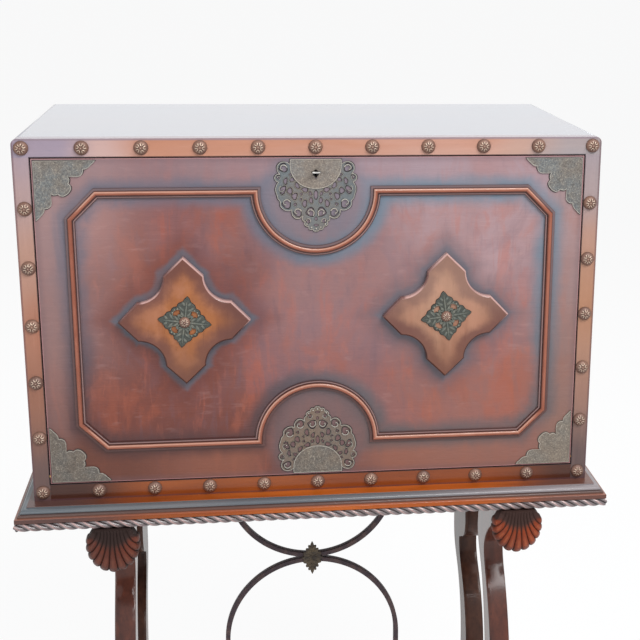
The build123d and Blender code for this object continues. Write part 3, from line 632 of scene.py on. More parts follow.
def frame_glaze_and_light(part):
    """The shading of one board of the frame: clear orange-brown low, painted sky reflection high."""

    def shade(finish, colour):
        x, y, z = finish.place()
        drawn_out = (0.12, 1, 1) if "rail" in part else (1, 1, 0.12)
        cloud = finish.noise(16, drawn_out, detail=4, shift=(3, 1, 2))
        wide = finish.noise(5, detail=2, shift=(6, 1, 4)) - 0.5
        edge = (case_half - abs(x)).least(case_head - z).least(z - case_foot)
        crown = []
        if part == "face_top_rail":
            crown = [((case_head - z).step(0.0036, 0.0016) * 0.6, (150, 136, 146))]
            # The top rail goes mauve towards its ends: glaze under a painted sky reflection.
            warm = cloud.shades((0.35, (176, 124, 100)), (0.65, (184, 144, 130)))
            tone = (abs(x) - x * 0.04 + wide * 0.12).shades(
                (0.24, warm), (0.31, x.shades((-0.1, (188, 162, 158)), (0.1, (176, 146, 134)))),
                (0.37, x.shades((-0.1, (140, 138, 158)), (0.1, (146, 144, 148)))),
            )
        elif part == "face_bottom_rail":
            warm = cloud.shades((0.35, (112, 48, 8)), (0.65, (152, 78, 26)))
            tone = (abs(x) - x * 0.06 + wide * 0.1).shades((0.25, warm), (0.39, (40, 22, 20)))
        else:
            # The stiles run from dark at the foot to pale mauve at the top: a painted reflection over the
            # wood's own tone.
            height = z + wide * 0.1
            middle = cloud.shades((0.35, (156, 100, 76)), (0.65, (166, 118, 98)))
            tone = height.shades(
                (0.76, (74, 64, 66)), (0.86, (134, 90, 72)), (0.98, middle), (1.10, (172, 134, 118)),
                (1.18, (166, 144, 144)), (1.25, (156, 142, 152)),
            )
            right = x.step(-0.1, 0.1)
            gold = height.step(1.12, 1.0) * height.step(0.84, 0.96)
            ashen = height.step(1.02, 0.92) * height.step(0.76, 0.84)
            tone = finish.glaze(
                tone,
                (right * height.step(1.08, 1.2) * 0.45, (134, 136, 140)),
                (right * gold * 0.35, (186, 144, 104)),
                (right * ashen * 0.3, (160, 136, 126)),
            )
        return finish.glaze(
            colour,
            (cloud * 0.3 + 0.66, tone),
            (edge.step(0.0038, 0.0014) * 0.6, (86, 58, 64)),
            *crown,
            # Painted shadow on the frame along the gap round the fall.
            (in_opening(x, z).step(0.0018, 0.0005) * 0.85, (34, 18, 26)),
        )

    return shade


for part, grain, tones in (
    ("face_top_rail", "X", ((190, 128, 100), (158, 98, 74))),
    ("face_bottom_rail", "X", ((146, 74, 36), (90, 42, 22))),
    ("face_stile_left", "Z", ((170, 116, 92), (126, 76, 58))),
    ("face_stile_right", "Z", ((166, 122, 104), (124, 84, 70))),
):
    dress(part, wood(part, tones, grain, gloss=0.26, coat=0.6, shade=frame_glaze_and_light(part)), 0.8)

# ---- border nails
# Thirty-two cast brass nails round the frame, each a small dome with a rosette of
# petals. The hollows and grooves are dark, and the petals and the boss carry painted highlights.

petal_count = 5
petal_place = 0.58
petal_length = 0.25
petal_width = 0.20
well_radius = 0.2
groove_width = 0.05
nail_radius = 10.6
nail_height = 7.6
nail_rows = (726.2 * mm, 1251.7 * mm)
nail_half = 418.2 * mm
nails_across = 11
nails_down = 7


def clip(value):
    return min(1.0, max(0.0, value))


def hill(off, width):
    """1 where off is 0, and less further away."""
    return exp(-(off / width) ** 2)


def rosette():
    """One nail in mm, its foot on the drawing and its dome towards the viewer."""
    work = bmesh.new()
    crest = work.verts.layers.float.new("crest")
    bmesh.ops.create_uvsphere(work, u_segments=48, v_segments=24, radius=1)
    bmesh.ops.bisect_plane(
        work, geom=work.verts[:] + work.edges[:] + work.faces[:], dist=0.0001,
        plane_co=(0, 0, 0), plane_no=(0, 0, -1), clear_outer=True,
    )
    bmesh.ops.edgeloop_fill(work, edges=rim_of(work))
    for point in work.verts:
        x, y, z = point.co
        reach = hypot(x, y)
        turn = ((atan2(y, x) * petal_count / (2 * pi)) % 1.0 - 0.5) * 2 * pi / petal_count
        out = (reach * cos(turn) - petal_place) / petal_length
        around = hypot(out, reach * sin(turn) / petal_width)
        lip = hill(around - 0.95, 0.3) * clip((0.75 - out) / 0.5)
        hollow = hill(around, 0.55)
        ray = abs(abs(turn) - pi / petal_count) * reach
        gully = hill(ray, groove_width) if 0.16 < reach < 0.66 else 0
        groove = max(gully, hill(reach - well_radius, 0.055))
        boss = hill(reach, 0.1)
        # The crest number sets a painted highlight on the petal lips and the boss; it is low, and the
        # colour dark, in the hollows, the grooves and towards the rim.
        tone = 0.5 + 0.5 * max(lip, boss * 0.9) - 0.5 * groove * (1 - boss) - 0.3 * hollow
        point[crest] = clip(tone - 0.25 * max(0.0, (reach - 0.88) / 0.12))
        lift = 0.10 * lip - 0.07 * hollow - 0.09 * groove + 0.05 * boss
        scale = 1 + lift if z > 0.05 else 1
        wide = nail_radius * min(1.0, scale)
        point.co = (x * wide, y * wide, z * nail_height * 0.9 * scale)
    return mesh_of(work, "rosette")


nail_brass = Finish("nail_brass")
crest = nail_brass.mark("crest")
cloud = nail_brass.noise(40, detail=4)
brass = cloud.shades((0.3, (128, 94, 78)), (0.7, (104, 76, 66)))
# Dark where crest is low, and a painted highlight where it is high.
brass = crest.shades((0.05, (40, 28, 24)), (0.45, brass))
nail_brass.wear(
    Base_Color=nail_brass.mix(crest.step(0.62, 0.95) * 0.85, brass, (216, 196, 174)),
    Metallic=crest.step(0.2, 0.7) * 0.3, Roughness=0.56 - crest * 0.14,
    Normal=nail_brass.bump(cloud, 0.0002),
)
rosette_mesh = rosette()
seats = []
for i in range(nails_across):
    for row in nail_rows:
        seats.append((nail_half * (2 * i / (nails_across - 1) - 1), row))
for j in range(1, nails_down - 1):
    rise = nail_rows[0] + (nail_rows[1] - nail_rows[0]) * j / (nails_down - 1)
    for side in (-1, 1):
        seats.append((side * nail_half, rise))
border = bmesh.new()
for k, (x, z) in enumerate(seats):
    add_mesh(border, rosette_mesh, facing(x, face_y, z, turn=k * 2.4))
piece("nails_of_border", border, nail_brass, "nail_brass", "cabinet", "border_nails")

# ---- inside of the case
# Floor, writing bed and gallery of plain mahogany, oiled and little faded: two shelves,
# partitions housed in grooves, arched valances, and three drawers with brass knobs.

inner_tones = ((170, 108, 66), (118, 66, 40))
inner_boards = {
    "X": (
        "case_bottom", "writing_bed", "bed_bearers", "gallery_shelves", "gallery_valances",
        "drawer_left", "drawer_middle", "drawer_right",
    ),
    "Z": ("gallery_ends", "gallery_partitions"),
}
for grain, parts in inner_boards.items():
    for k, part in enumerate(parts):
        dress(part, wood(part, inner_tones, grain, gloss=0.4, coat=0.3, offset=k), 0.5)

plain_brass = Finish("plain_brass")
tarnish = plain_brass.noise(30, detail=5, rough=0.65)
scratch = plain_brass.noise(700, (1, 1, 0.1), detail=3)
plain_brass.wear(
    Base_Color=tarnish.shades((0.35, (204, 168, 102)), (0.75, (150, 116, 66))), Metallic=0.9,
    Roughness=tarnish * 0.25 + 0.22, Normal=plain_brass.bump(scratch, 0.00003),
)
for part in (
    "drawer_knob_left", "drawer_knob_middle", "drawer_knob_right", "strike_plate", "pivot_sockets",
    "stay_stops", "pivot_pins", "quadrant_stay_left", "quadrant_stay_right",
):
    dress(part, plain_brass)

# ---- fall front
# One wide panel of crotch mahogany with upright figure. The finisher shaded it by hand:
# red-brown in the field, grey round the moulding, the crosses and the outer margins. Over
# it lies painted reflection, pale mauve towards the top and right and darker low on the left,
# a painted highlight along the edges, and painted shade in the keyhole.

mould_low, mould_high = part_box("fall_moulding")
band = 7.5 * mm
mould_half = mould_high.x - band
mould_top = mould_high.z - band
mould_foot = mould_low.z + band
mould_middle = (mould_top + mould_foot) / 2
mould_cut = 38 * mm
arch_radius = 89 * mm
cross_low, cross_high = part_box("cross_right")
cross_x = (cross_low.x + cross_high.x) / 2
cross_z = (cross_low.z + cross_high.z) / 2
cross_tip = 70.13 * mm
bite_place = 69 * mm
bite_radius = 39.5 * mm
key_low, key_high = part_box("key")
key_level = (key_low.z + key_high.z) / 2


def length(u, v):
    return (u * u + v * v) ** 0.5


def off_moulding(x, z):
    """Metres from the middle of the moulding: negative in the field, positive outside."""
    half = (mould_top - mould_foot) / 2
    along = abs(x)
    rise = abs(z - mould_middle)
    octagon = (along - mould_half).most(rise - half).most(
        (along + rise - (mould_half + half - mould_cut)) * sqrt(0.5)
    )
    return octagon.most(arch_radius - length(along, half - rise))


def off_cross(x, z):
    """Metres outside the nearer cross, negative inside it."""
    u = abs(abs(x) - cross_x)
    v = abs(z - cross_z)
    tip = u.least(v) * 0.695 + u.most(v) * 0.7193 - cross_tip
    return tip.most(bite_radius - length(u - bite_place, v - bite_place))


def panel_glaze_and_light(finish, plain):
    """Clouds, flames and flecks, then haloes and margins, and painted light, on the outer face only."""
    x, y, z = finish.place()
    rise = (z - fall_low.z) / (fall_high.z - fall_low.z)
    cloud = finish.noise(6, (1, 1, 0.5), detail=4, shift=(1, 2, 3))
    drift = finish.noise(16, detail=5, rough=0.6, shift=(4, 2, 6), bend=0.6)
    lick = finish.noise(58, (1, 1, 0.2), detail=5, rough=0.62, shift=(7, 5, 1), bend=0.5)
    flame = finish.noise(26, (1, 1, 0.22), detail=6, rough=0.66, bend=0.8)
    fleck = finish.noise(110, (0.3, 1, 1), detail=3)
    stain = finish.noise(11, (1, 1, 0.7), detail=5, rough=0.62, shift=(3, 8, 5), bend=0.9)
    ragged = finish.noise(70, detail=5, rough=0.7, shift=(2, 2, 2))
    # The ground: the wood's own red-brown, paling to mauve high and to the right as a painted reflection.
    ground = (rise * 0.62 + x + (cloud - 0.5) * 0.9 + 0.12).shades(
        (-0.05, (104, 52, 40)), (0.15, (118, 66, 54)), (0.45, (132, 92, 92)), (0.65, (138, 98, 94)),
        (0.95, (162, 140, 146)),
    )
    left = x.step(-0.2, -0.36)
    right = x.step(-0.15, 0.15)
    high_field = rise.step(0.66, 0.82) * abs(x).step(0.32, 0.22) * x.step(0.05, -0.05)
    patch = length(x + 0.115, z - cross_z - 0.07) + (drift - 0.5) * 0.05
    off = off_moulding(x, z) + (drift - 0.5) * 0.02
    margin = off.step(-0.002, 0.006)
    # The margins' grey pales upwards: glaze under a painted reflection.
    grey = (rise + x * 0.5).shades(
        (-0.1, (88, 50, 40)), (0.25, (118, 86, 80)), (0.6, (122, 98, 98)), (1.05, (146, 128, 136)),
    )
    low = margin * rise.step(0.16, 0.10)
    foot = low * abs(x).step(0.06, 0.12) * (x.step(-0.3, -0.16) * 0.8 + 0.2)
    off = off + (flame - 0.5) * 0.02
    halo = off.step(0.030, 0.008) * off.step(-0.032, -0.008)
    # The haloes are glaze, bluer high and darker low as a painted reflection.
    halo_tone = x.shades(
        (-0.15, rise.shades((0.05, (66, 38, 38)), (0.85, (92, 97, 112)))),
        (0.15, rise.shades((0.05, (84, 78, 80)), (0.85, (96, 120, 136)))),
    )
    arch = length(x, mould_top - z).least(length(x, z - mould_foot))
    dusk = rise.shades((0.1, (92, 80, 84)), (0.9, (98, 104, 118)))
    around = off_cross(x, z) + (drift - 0.5) * 0.02 + (ragged - 0.5) * 0.008
    close = around.step(0.0130, 0.0040) * (1 - right * 0.6)
    smoke = close * (drift.step(0.3, 0.6) * 0.35 + 0.48) + around.step(0.036, 0.0) * right * 0.45
    rim = (fall_high.x - abs(x)).least(fall_high.z - z).least(z - fall_low.z)
    return finish.glaze(
        plain,
        (0.8, ground),
        (flame.step(0.51, 0.62) * (drift.step(0.35, 0.6) * 0.8 + 0.2) * 0.5, (166, 84, 60)),
        (flame.step(0.44, 0.3) * 0.4, (92, 62, 68)),
        (lick.step(0.54, 0.66) * drift.step(0.62, 0.45) * 0.3, (176, 98, 74)),
        (lick.step(0.46, 0.34) * 0.3, (104, 80, 88)),
        (stain.step(0.5, 0.64) * 0.35, (158, 80, 52)),
        (stain.step(0.5, 0.36) * (rise.step(0.1, 0.5) * 0.25 + 0.1), (104, 82, 92)),
        # Paler high on the left: painted reflection.
        (left * rise.step(0.2, 0.5) * 0.4, (150, 124, 124)),
        (left * rise.step(0.6, 0.85) * 0.4, (186, 142, 134)),
        (fleck.step(0.58, 0.75) * 0.14, (190, 150, 146)),
        (rise.step(0.5, 0.15) * x.step(-0.1, 0.25) * 0.35, (146, 88, 68)),
        (high_field * 0.25, (112, 62, 58)),
        # Paler high on the right and darker low on the left: painted reflection.
        (x.step(0.05, 0.2) * rise.step(0.3, 0.6) * 0.2, (184, 156, 158)),
        (x.step(-0.05, -0.15) * rise.step(0.27, 0.12) * 0.3, (84, 48, 44)),
        (patch.step(0.065, 0.01) * 0.5, (92, 50, 46)),
        (0.05, (50, 26, 24)),
        (abs(x - 0.05).step(0.15, 0.06) * rise.step(0.3, 0.5) * 0.25, (144, 124, 130)),
        (margin * (cloud.step(0.25, 0.75) * 0.4 + 0.35), grey),
        (x.step(-0.35, -0.38) * margin * 0.25, finish.mix(rise, (148, 116, 110), (166, 144, 148))),
        (x.step(0.34, 0.37) * margin * 0.25, (138, 108, 88)),
        (x.step(-0.2, -0.28) * margin * rise.step(0.18, 0.1) * 0.4, (80, 38, 22)),
        (x.step(0.1, 0.2) * low * 0.25, (96, 84, 86)),
        (foot * x.step(0.5, 0.2) * 0.45, (150, 90, 66)),
        (halo * (drift.step(0.25, 0.75) * 0.35 + 0.52), halo_tone),
        (arch.step(0.088, 0.06) * (cloud.step(0.7, 0.3) * 0.4 + 0.35), dusk),
        (arch.step(0.125, 0.100) * off.step(0.0, -0.006) * 0.5, halo_tone),
        (around.step(0.045, 0.008) * (0.6 - right * 0.35), (96, 48, 42)),
        (smoke, (82, 92, 104)),
        (rim.step(0.012, 0.002) * 0.3, (92, 72, 78)),
        # A painted highlight along the edge of the panel.
        (rim.step(0.0016, 0.0004) * 0.6, (176, 128, 128)),
        # Painted shade in the keyhole.
        (length(x, z - key_level).step(0.007, 0.006) * 0.95, (12, 8, 8)),
        ((y - face_y).step(0.0015, 0.003), plain),
    )


panel_tones = ((154, 84, 68), (100, 52, 50))
dress("fall_panel", wood("panel", panel_tones, "X", gloss=0.27, coat=0.55, shade=panel_glaze_and_light), 0.6)

# ---- moulding on the fall
# A bead on a flat band, mitred and bent round the two arches, glued on. The crest is
# copper-brown, with a painted highlight on its upper side and painted shade below, and the
# hollows beside it are almost black.


def moulding_tone_and_light(finish, colour):
    """Runs across the section in lines, a painted highlight on the upper side of each bead, painted shade
    below.
    """
    x, y, z = finish.place()
    off = off_moulding(x, z) / mm
    crown = finish.noise(22, detail=4).shades((0.3, (134, 76, 56)), (0.7, (152, 94, 74)))
    outer = z.shades((0.80, (76, 58, 58)), (1.15, (104, 94, 98)))
    tone = off.shades(
        (-7.2, (46, 34, 38)), (-6.6, (50, 38, 42)), (-6.1, (140, 118, 116)), (-5.0, (132, 108, 106)),
        (-4.6, (44, 28, 30)), (-3.8, (48, 28, 28)), (-2.4, (120, 66, 48)), (-0.6, crown), (1.6, crown),
        (2.8, (100, 54, 42)), (3.6, (50, 30, 32)), (4.4, outer), (6.8, outer), (7.4, (56, 42, 46)),
    )
    # shine is a painted highlight on the upper side of the bead, gloom painted shade on its under side.
    skyward = off * ((z - mould_middle).step(-0.002, 0.002) * 2 - 1)
    run = abs(x).step(mould_half - 0.004, mould_half - 0.020)
    shine = skyward.step(0.0, 1.8) * skyward.step(3.4, 2.6) * run
    gloom = skyward.step(-1.0, -2.6) * skyward.step(-4.4, -3.8) * run
    tone = finish.glaze(tone, (shine * 0.6, (208, 164, 144)), (gloom * 0.7, (66, 34, 28)))
    return finish.mix(0.88, colour, tone)


moulding_tones = ((176, 92, 62), (128, 58, 42))
dress("fall_moulding", wood("moulding", moulding_tones, "X", gloss=0.3, shade=moulding_tone_and_light))

# ---- crosses
# Two four-armed crosses of pale mahogany with chamfered edges, glued on the panel and
# shaded from gold in the middle to purple-brown at the edges.


def cross_glaze_and_light(finish, colour):
    """Shaded by hand towards the edges, with painted light on the upper chamfers and painted shade on the
    lower ones.
    """
    x, y, z = finish.place()
    cloud = finish.noise(26, detail=5, shift=(5, 2, 1))
    edge = off_cross(x, z) * -1 + (cloud - 0.5) * 0.04
    right = x.step(-0.001, 0.001)
    left = x.step(0.001, -0.001)
    across = (abs(x) - cross_x) * (right * 2 - 1)
    level = z - cross_z
    far = length(abs(abs(x) - cross_x), abs(level))
    lit = (level + across * 0.8 + (cloud - 0.5) * 0.03).step(0.045, 0.085)
    ledge = across.step(-0.032, -0.040) * across.step(-0.066, -0.060) * level.step(0.022, 0.028)
    # The chamfers: painted shade on those facing down, a painted highlight (lit, ledge) on those facing up
    # and right.
    chamfer = level.shades((-0.004, (66, 38, 36)), (0.010, (116, 80, 76)))
    return finish.glaze(
        colour,
        (cloud.step(0.4, 0.65) * 0.4, (176, 122, 98)),
        (edge.step(0.026, 0.006) * 0.8, (96, 58, 54)),
        (far.step(0.04, 0.092) * (0.5 - right * 0.1), (92, 52, 44)),
        (across.step(0.03, 0.07) * left * 0.45, (92, 56, 50)),
        # Darker low, and lighter high on the right cross: painted light and shade.
        (level.step(-0.01, -0.07) * 0.4, (112, 70, 48)),
        ((1 - left) * level.step(-0.02, 0.05) * 0.28, (186, 152, 132)),
        (
            (face_y - y).step(0.0118, 0.0108) * 0.85,
            finish.mix(lit.most(ledge), chamfer, (196, 158, 152)),
        ),
    )


cross_tones = {"left": ((168, 104, 58), (136, 78, 42)), "right": ((174, 133, 108), (146, 102, 80))}
for k, (side, tones) in enumerate(cross_tones.items()):
    part = "cross_" + side
    dress(part, wood(part, tones, "Z", gloss=0.3, shade=cross_glaze_and_light, offset=k), 0.5)

# ---- diamond mounts
# A pierced square of cast brass set on its corner on each cross: four acanthus leaves
# with beads between them, gone grey-green. One small rosette nail holds it. Under it lies
# a near-black sheet, a painted shadow, with painted shade between the leaves and painted
# highlights on the highest parts.

diamond_reach = 39.0
diamond_tilt = radians(8)
leaf_tips = 5
tip_sink = 0.2
notch_sink = 2.6
opening_place = 18.0
leaf_lobes = ((8, 16, 8.0), (16.5, 24.5, 12.0), (24.5, 31, 7.0))
leaf_radius = 3.0
stem_radius = 1.7
bead_radius = 1.5
diamond_thick = 1.8
shadow_sheet_thick = 0.4


def diamond_edge():
    """The scalloped outline: leaf_tips small tips along each of the four sides."""
    outline = []
    start, end = Vector((0, diamond_reach)), Vector((diamond_reach, 0))
    outward = Vector((1, 1)).normalized()
    for side in range(4):
        turn = Matrix.Rotation(-side * pi / 2, 2)
        outline.append((*(turn @ start), "c"))
        for k in range(leaf_tips):
            tip = start.lerp(end, (k + 0.5) / leaf_tips) - outward * tip_sink
            outline.append(tuple(turn @ tip))
            if k < leaf_tips - 1:
                notch = start.lerp(end, (k + 1) / leaf_tips) - outward * notch_sink
                outline.append((*(turn @ notch), "c"))
    return outline


def oval(x, y, along, wide, turn=0.0, pinch=0.0):
    """A closed loop of eight points; pinch, up to 1, draws one end to a point."""
    loop = []
    for k in range(8):
        a = along * cos(k * pi / 4)
        b = wide * sin(k * pi / 4) * (1 - pinch * cos(k * pi / 4))
        loop.append((x + a * cos(turn) - b * sin(turn), y + a * sin(turn) + b * cos(turn)))
    return loop


def inset(outline, amount, centre):
    """The outline drawn in towards a centre by amount mm, or out where it is negative."""
    moved = []
    for p in outline:
        away = Vector((p[0] - centre[0], p[1] - centre[1]))
        away = away * (1 - amount / max(away.length, abs(amount)))
        moved.append((centre[0] + away.x, centre[1] + away.y, *p[2:]))
    return moved


def bead(work, seat, x, y, lift):
    """A round bead at (x, y) in mm, its middle lift mm above the seat."""
    ball = bmesh.new()
    bmesh.ops.create_icosphere(ball, subdivisions=2, radius=bead_radius)
    add_part(work, ball, seat @ Matrix.Translation((x, y, lift)))


verdigris = Finish("verdigris_brass")
crust = verdigris.noise(160, detail=6, rough=0.7)
grain = verdigris.noise(900, detail=3)
lift = (face_y - verdigris.place()[1]) / mm - 12
green = verdigris.glaze(
    crust.shades((0.35, (92, 98, 92)), (0.7, (120, 119, 108))),
    # Painted shade between the leaves, a near-black painted shadow on the sheet beneath, and painted
    # highlights on the highest parts.
    (lift.step(2.6, 2.0) * 0.7, (52, 54, 50)),
    (lift.step(1.4, 0.8) * 0.9, (26, 22, 22)),
    (lift.step(3.5, 3.9) * 0.85, (206, 200, 178)),
)
verdigris.wear(
    Base_Color=green, Metallic=0.35, Roughness=crust * 0.3 + 0.35,
    Normal=verdigris.bump(crust + grain, 0.0003),
)
diamonds = bmesh.new()
small_nails = bmesh.new()
cross_face = cross_low.y
for side in (-1, 1):
    seat = facing(side * cross_x, cross_face, cross_z, turn=side * diamond_tilt)
    openings = []
    for k in range(4):
        angle = pi / 4 + k * pi / 2
        x, y = opening_place * cos(angle), opening_place * sin(angle)
        openings.append(oval(x, y, 6.4, 4.8, angle + pi / 2))
    sheet_of(diamonds, seat, [diamond_edge()] + openings, diamond_thick, edge=0.4)
    # A near-black sheet a little larger than the mount, with the same openings: a painted shadow outline.
    shadow_sheet = [inset(diamond_edge(), -1.0, (0, 0))] + openings
    sheet_of(diamonds, seat, shadow_sheet, shadow_sheet_thick, edge=0.1)
    for k in range(4):
        turned = seat @ Matrix.Rotation(k * pi / 2, 4, "Z")
        stem = [(0, 5), (0, 20), (0, 36)]
        strand_of(diamonds, turned, stem, stem_radius, lift=1.7, taper=[1, 1, 0.3])
        for flip in (-1, 1):
            for low, high, out in leaf_lobes:
                bend = (flip * out * 0.55, (low + high) / 2 - 0.5)
                vein = [(flip * 0.8, low), bend, (flip * out, high)]
                strand_of(diamonds, turned, vein, leaf_radius, lift=0.3, taper=[0.6, 1, 0.65])
            curl = [(flip * 2, 6), (flip * 8, 9.5), (flip * 11.5, 9.0)]
            strand_of(diamonds, turned, curl, 1.3, lift=2.2, taper=[0.8, 1, 1.2])
        between = seat @ Matrix.Rotation(k * pi / 2 - pi / 4, 4, "Z")
        ring = oval(0, opening_place, 7.0, 5.3)
        strand_of(diamonds, between, ring, 0.7, lift=2.0, closed=True)
        for x in (-4.6, 0, 4.6):
            bead(diamonds, between, x, 24.2 - abs(x) * 0.35, 2.3)
    small = Matrix.Diagonal((0.8, 0.8, 0.8, 1))
    add_mesh(small_nails, rosette_mesh, seat @ Matrix.Translation((0, 0, 2)) @ small)
piece("diamonds", diamonds, verdigris, "verdigris_brass", "fall", "diamond_mounts")
piece("nails_of_crosses", small_nails, nail_brass, "nail_brass", "fall", "cross_nails")

# ---- corner brackets
# Four plates of thin cast brass with a scalloped inner edge, a raised rim all round and
# shallow leaf scrolls, each held by three round-headed pins. Old grey-brown patina.

antique_brass = Finish("antique_brass")
x, y, z = antique_brass.place()
lift = (face_y - y) / mm
cloud = antique_brass.noise(26, detail=5, rough=0.6)
chase = antique_brass.noise(210, detail=4, rough=0.7, bend=1.5)
grain = antique_brass.noise(1100, detail=3)
stipple = antique_brass.noise(520, detail=2)
line = abs(antique_brass.noise(120, detail=3, bend=1.8) - 0.5).step(0.03, 0.006)
warm = z.shades((0.80, (118, 106, 94)), (1.15, (122, 114, 106)))
cool = z.shades((0.80, (108, 104, 98)), (1.15, (112, 116, 117)))
plate = lift.step(1.35, 1.5) * 0.8 + 0.2
lace = lift.step(1.33, 1.24) * lift.step(1.0, 1.1)
rubbed = abs(x).step(0.045, 0.03) * z.step(1.1, 1.15) * plate
low_corner = z.step(1.0, 0.9) * abs(x).step(0.3, 0.34)
bronze = antique_brass.glaze(
    cloud.shades((0.35, warm), (0.65, cool)),
    (line * plate * 0.5, (58, 52, 50)),
    (chase.step(0.54, 0.62) * plate * 0.4, (66, 60, 58)),
    (chase.step(0.46, 0.38) * plate * 0.4, (164, 154, 140)),
    (stipple.step(0.5, 0.66) * plate * 0.45, (76, 70, 66)),
    (stipple.step(0.42, 0.30) * plate * 0.42, (182, 172, 156)),
    # A near-black painted shadow on the sheets beneath, and painted highlights on the raised rims and
    # strands.
    (lift.step(1.0, 0.5) * 0.9, (34, 26, 30)),
    (lift.step(1.75, 2.2) * 0.7, (186, 180, 170)),
    (lace * 0.35, z.shades((0.90, (122, 92, 74)), (1.10, (78, 92, 100)))),
    (rubbed * 0.14, (176, 154, 136)),
    (low_corner * 0.14, x.shades((-0.01, (60, 54, 52)), (0.01, (180, 164, 146)))),
    # Painted shade in the keyhole.
    (length(x, z - key_level).step(0.0052, 0.0046), (14, 10, 10)),
)
antique_brass.wear(
    Base_Color=bronze, Metallic=0.3, Roughness=cloud * 0.2 + 0.36,
    Normal=antique_brass.bump(chase * 2 + grain * 0.3, 0.00035),
)

bracket_half = [
    (88, 0.6, "c"), (85.8, 3.6), (82.4, 6.6, "c"), (79.5, 9.6), (74.8, 12.4), (70.8, 12.9, "c"),
    (70.6, 17.0), (67.6, 22.0), (62.8, 23.7, "c"), (48.4, 23.7, "c"), (50.6, 26.4), (50.8, 30.4),
    (49.4, 34.2, "c"), (52.4, 38.2), (52.2, 43.0),
]
bracket_edge = (
    [(0.6, 0.6, "c")] + bracket_half + [(49.2, 47.6)]
    + [(p[1], p[0], *p[2:]) for p in reversed(bracket_half)]
)
bracket_thick = 1.6
bracket_rim = 0.7
bracket_pins = ((10.7, 10.7), (57, 6.7), (6.7, 57))
pin_radius = 1.5
pin_flatness = 0.35
bracket_strands = [
    (0.6, [(14, 30), (22, 40), (33, 38), (38, 28), (30, 20)], [0.5, 1, 1, 1, 0.6]),
    (0.6, [(26, 30), (34, 34), (44, 44)], [0.5, 1, 0.4]),
    (0.6, [(30, 8), (44, 12), (56, 17), (64, 14)], [0.4, 1, 1, 1.3]),
    (0.5, [(50, 13), (60, 8), (70, 6)], [0.6, 1, 0.4]),
    (0.5, [(18, 24), (30, 27), (42, 20)], [0.5, 1, 0.4]),
]
bracket_strands += [
    (thick, [(y, x) for x, y in path], taper) for thick, path, taper in bracket_strands
]
plate_gap = 2 * mm
edge_top = fall_high.z - plate_gap
edge_foot = fall_low.z + plate_gap
brackets = bmesh.new()
for side in (-1, 1):
    for way, height in ((1, edge_foot), (-1, edge_top)):
        seat = facing(side * (fall_high.x - plate_gap), face_y, height, flip=(-side, way))
        # A near-black sheet a little larger than the bracket: a painted shadow outline.
        sheet_of(brackets, seat, [inset(bracket_edge, -1.1, (30, 30))], shadow_sheet_thick, edge=0.1)
        sheet_of(brackets, seat, [bracket_edge], bracket_thick, edge=0.3)
        rim = inset(bracket_edge, 0.9, (24, 24))
        strand_of(brackets, seat, rim, bracket_rim, lift=1.7, closed=True)
        for thick, path, taper in bracket_strands:
            strand_of(brackets, seat, path, thick, lift=1.4, taper=taper)
        for x, y in bracket_pins:
            head = bmesh.new()
            bmesh.ops.create_uvsphere(head, u_segments=16, v_segments=8, radius=pin_radius)
            bmesh.ops.scale(head, vec=(1, 1, pin_flatness), verts=head.verts)
            add_part(brackets, head, seat @ Matrix.Translation((x, y, 1.5)))
piece("brackets", brackets, antique_brass, "antique_brass", "fall", "corner_brackets")

# ---- upper and lower mounts
# Two cast and pierced plates in the arches of the moulding: a half-round shield with a
# lacework of scrolls round it. The upper shield is chased and has the keyhole; the lower
# one is plain.

lace_thick = 1.2
shield_thick = 1.6
rim_radius = 0.8
ring_radius = 0.5
ring_reach = 0.6
shadow_hole_share = 0.78
key_drop = 20.5
key_hole = 3.4
key_slot = 1.8
key_slot_top = 2.4
key_slot_foot = 8.9
web_half = [
    (38.0, 0.8, "c"), (38.6, 8, "c"), (42.5, 5.2), (48.6, 4.2), (55.0, 7.4), (57.4, 13.5), (55.6, 19.5),
    (53.6, 22.8, "c"), (57.2, 22.6), (61.0, 27.6), (58.8, 32.8), (55.4, 34.2, "c"), (58.6, 39.3),
    (60.0, 46), (58.2, 53), (56.6, 59.4, "c"), (53.6, 63.0), (52.9, 70), (47.8, 75.6), (41, 77.4),
    (36.6, 76.4, "c"), (36.2, 81.5), (33.2, 87), (27.4, 89.7), (21.6, 87.2), (19.2, 84.6, "c"),
    (20.8, 88.4), (19.8, 92.6), (16.4, 94.6, "c"), (17.4, 98.2), (14.8, 101.2), (11.0, 101.6, "c"),
    (10.8, 104.8), (7.8, 106.6), (4.8, 105.6, "c"), (3.2, 108.6), (0, 109.0),
]
web_holes = (
    (37.3, 23.4, 2.0, 2.1, 0.0), (35.3, 31.2, 3.7, 3.1, 0.5), (44.9, 33.0, 2.7, 5.2, -0.15),
    (27.7, 39.8, 3.0, 5.2, 0.45), (16.6, 45.9, 5.2, 3.6, -0.25), (21.8, 52.4, 1.9, 1.9, 0.0),
    (8.3, 51.8, 2.1, 3.2, 0.4), (38.8, 47.6, 4.1, 4.9, 0.0), (49.0, 46.0, 4.2, 6.8, -0.4),
    (31.9, 55.6, 4.2, 5.4, -0.3), (22.6, 60.0, 1.8, 1.8, 0.0), (31.0, 67.8, 2.2, 2.4, 0.0),
    (17.2, 66.6, 3.4, 5.8, -0.1), (7.6, 62.2, 2.9, 4.6, 0.15), (12.2, 93.2, 3.6, 3.2, -0.4),
    (48.4, 13.6, 6.6, 6.9, 0.3), (55.2, 27.2, 3.5, 3.4, 0.0), (43.9, 67.2, 6.9, 7.2, 0.0),
    (27.6, 80.4, 6.3, 6.5, 0.0), (9.0, 79.8, 6.9, 7.3, 0.25),
)
ringed_holes = 14
middle_holes = ((0, 53.8, 3.1, 7.6, 0.0), (0, 89.6, 2.2, 3.0, 0.0), (0, 99.4, 4.0, 1.9, 0.0))
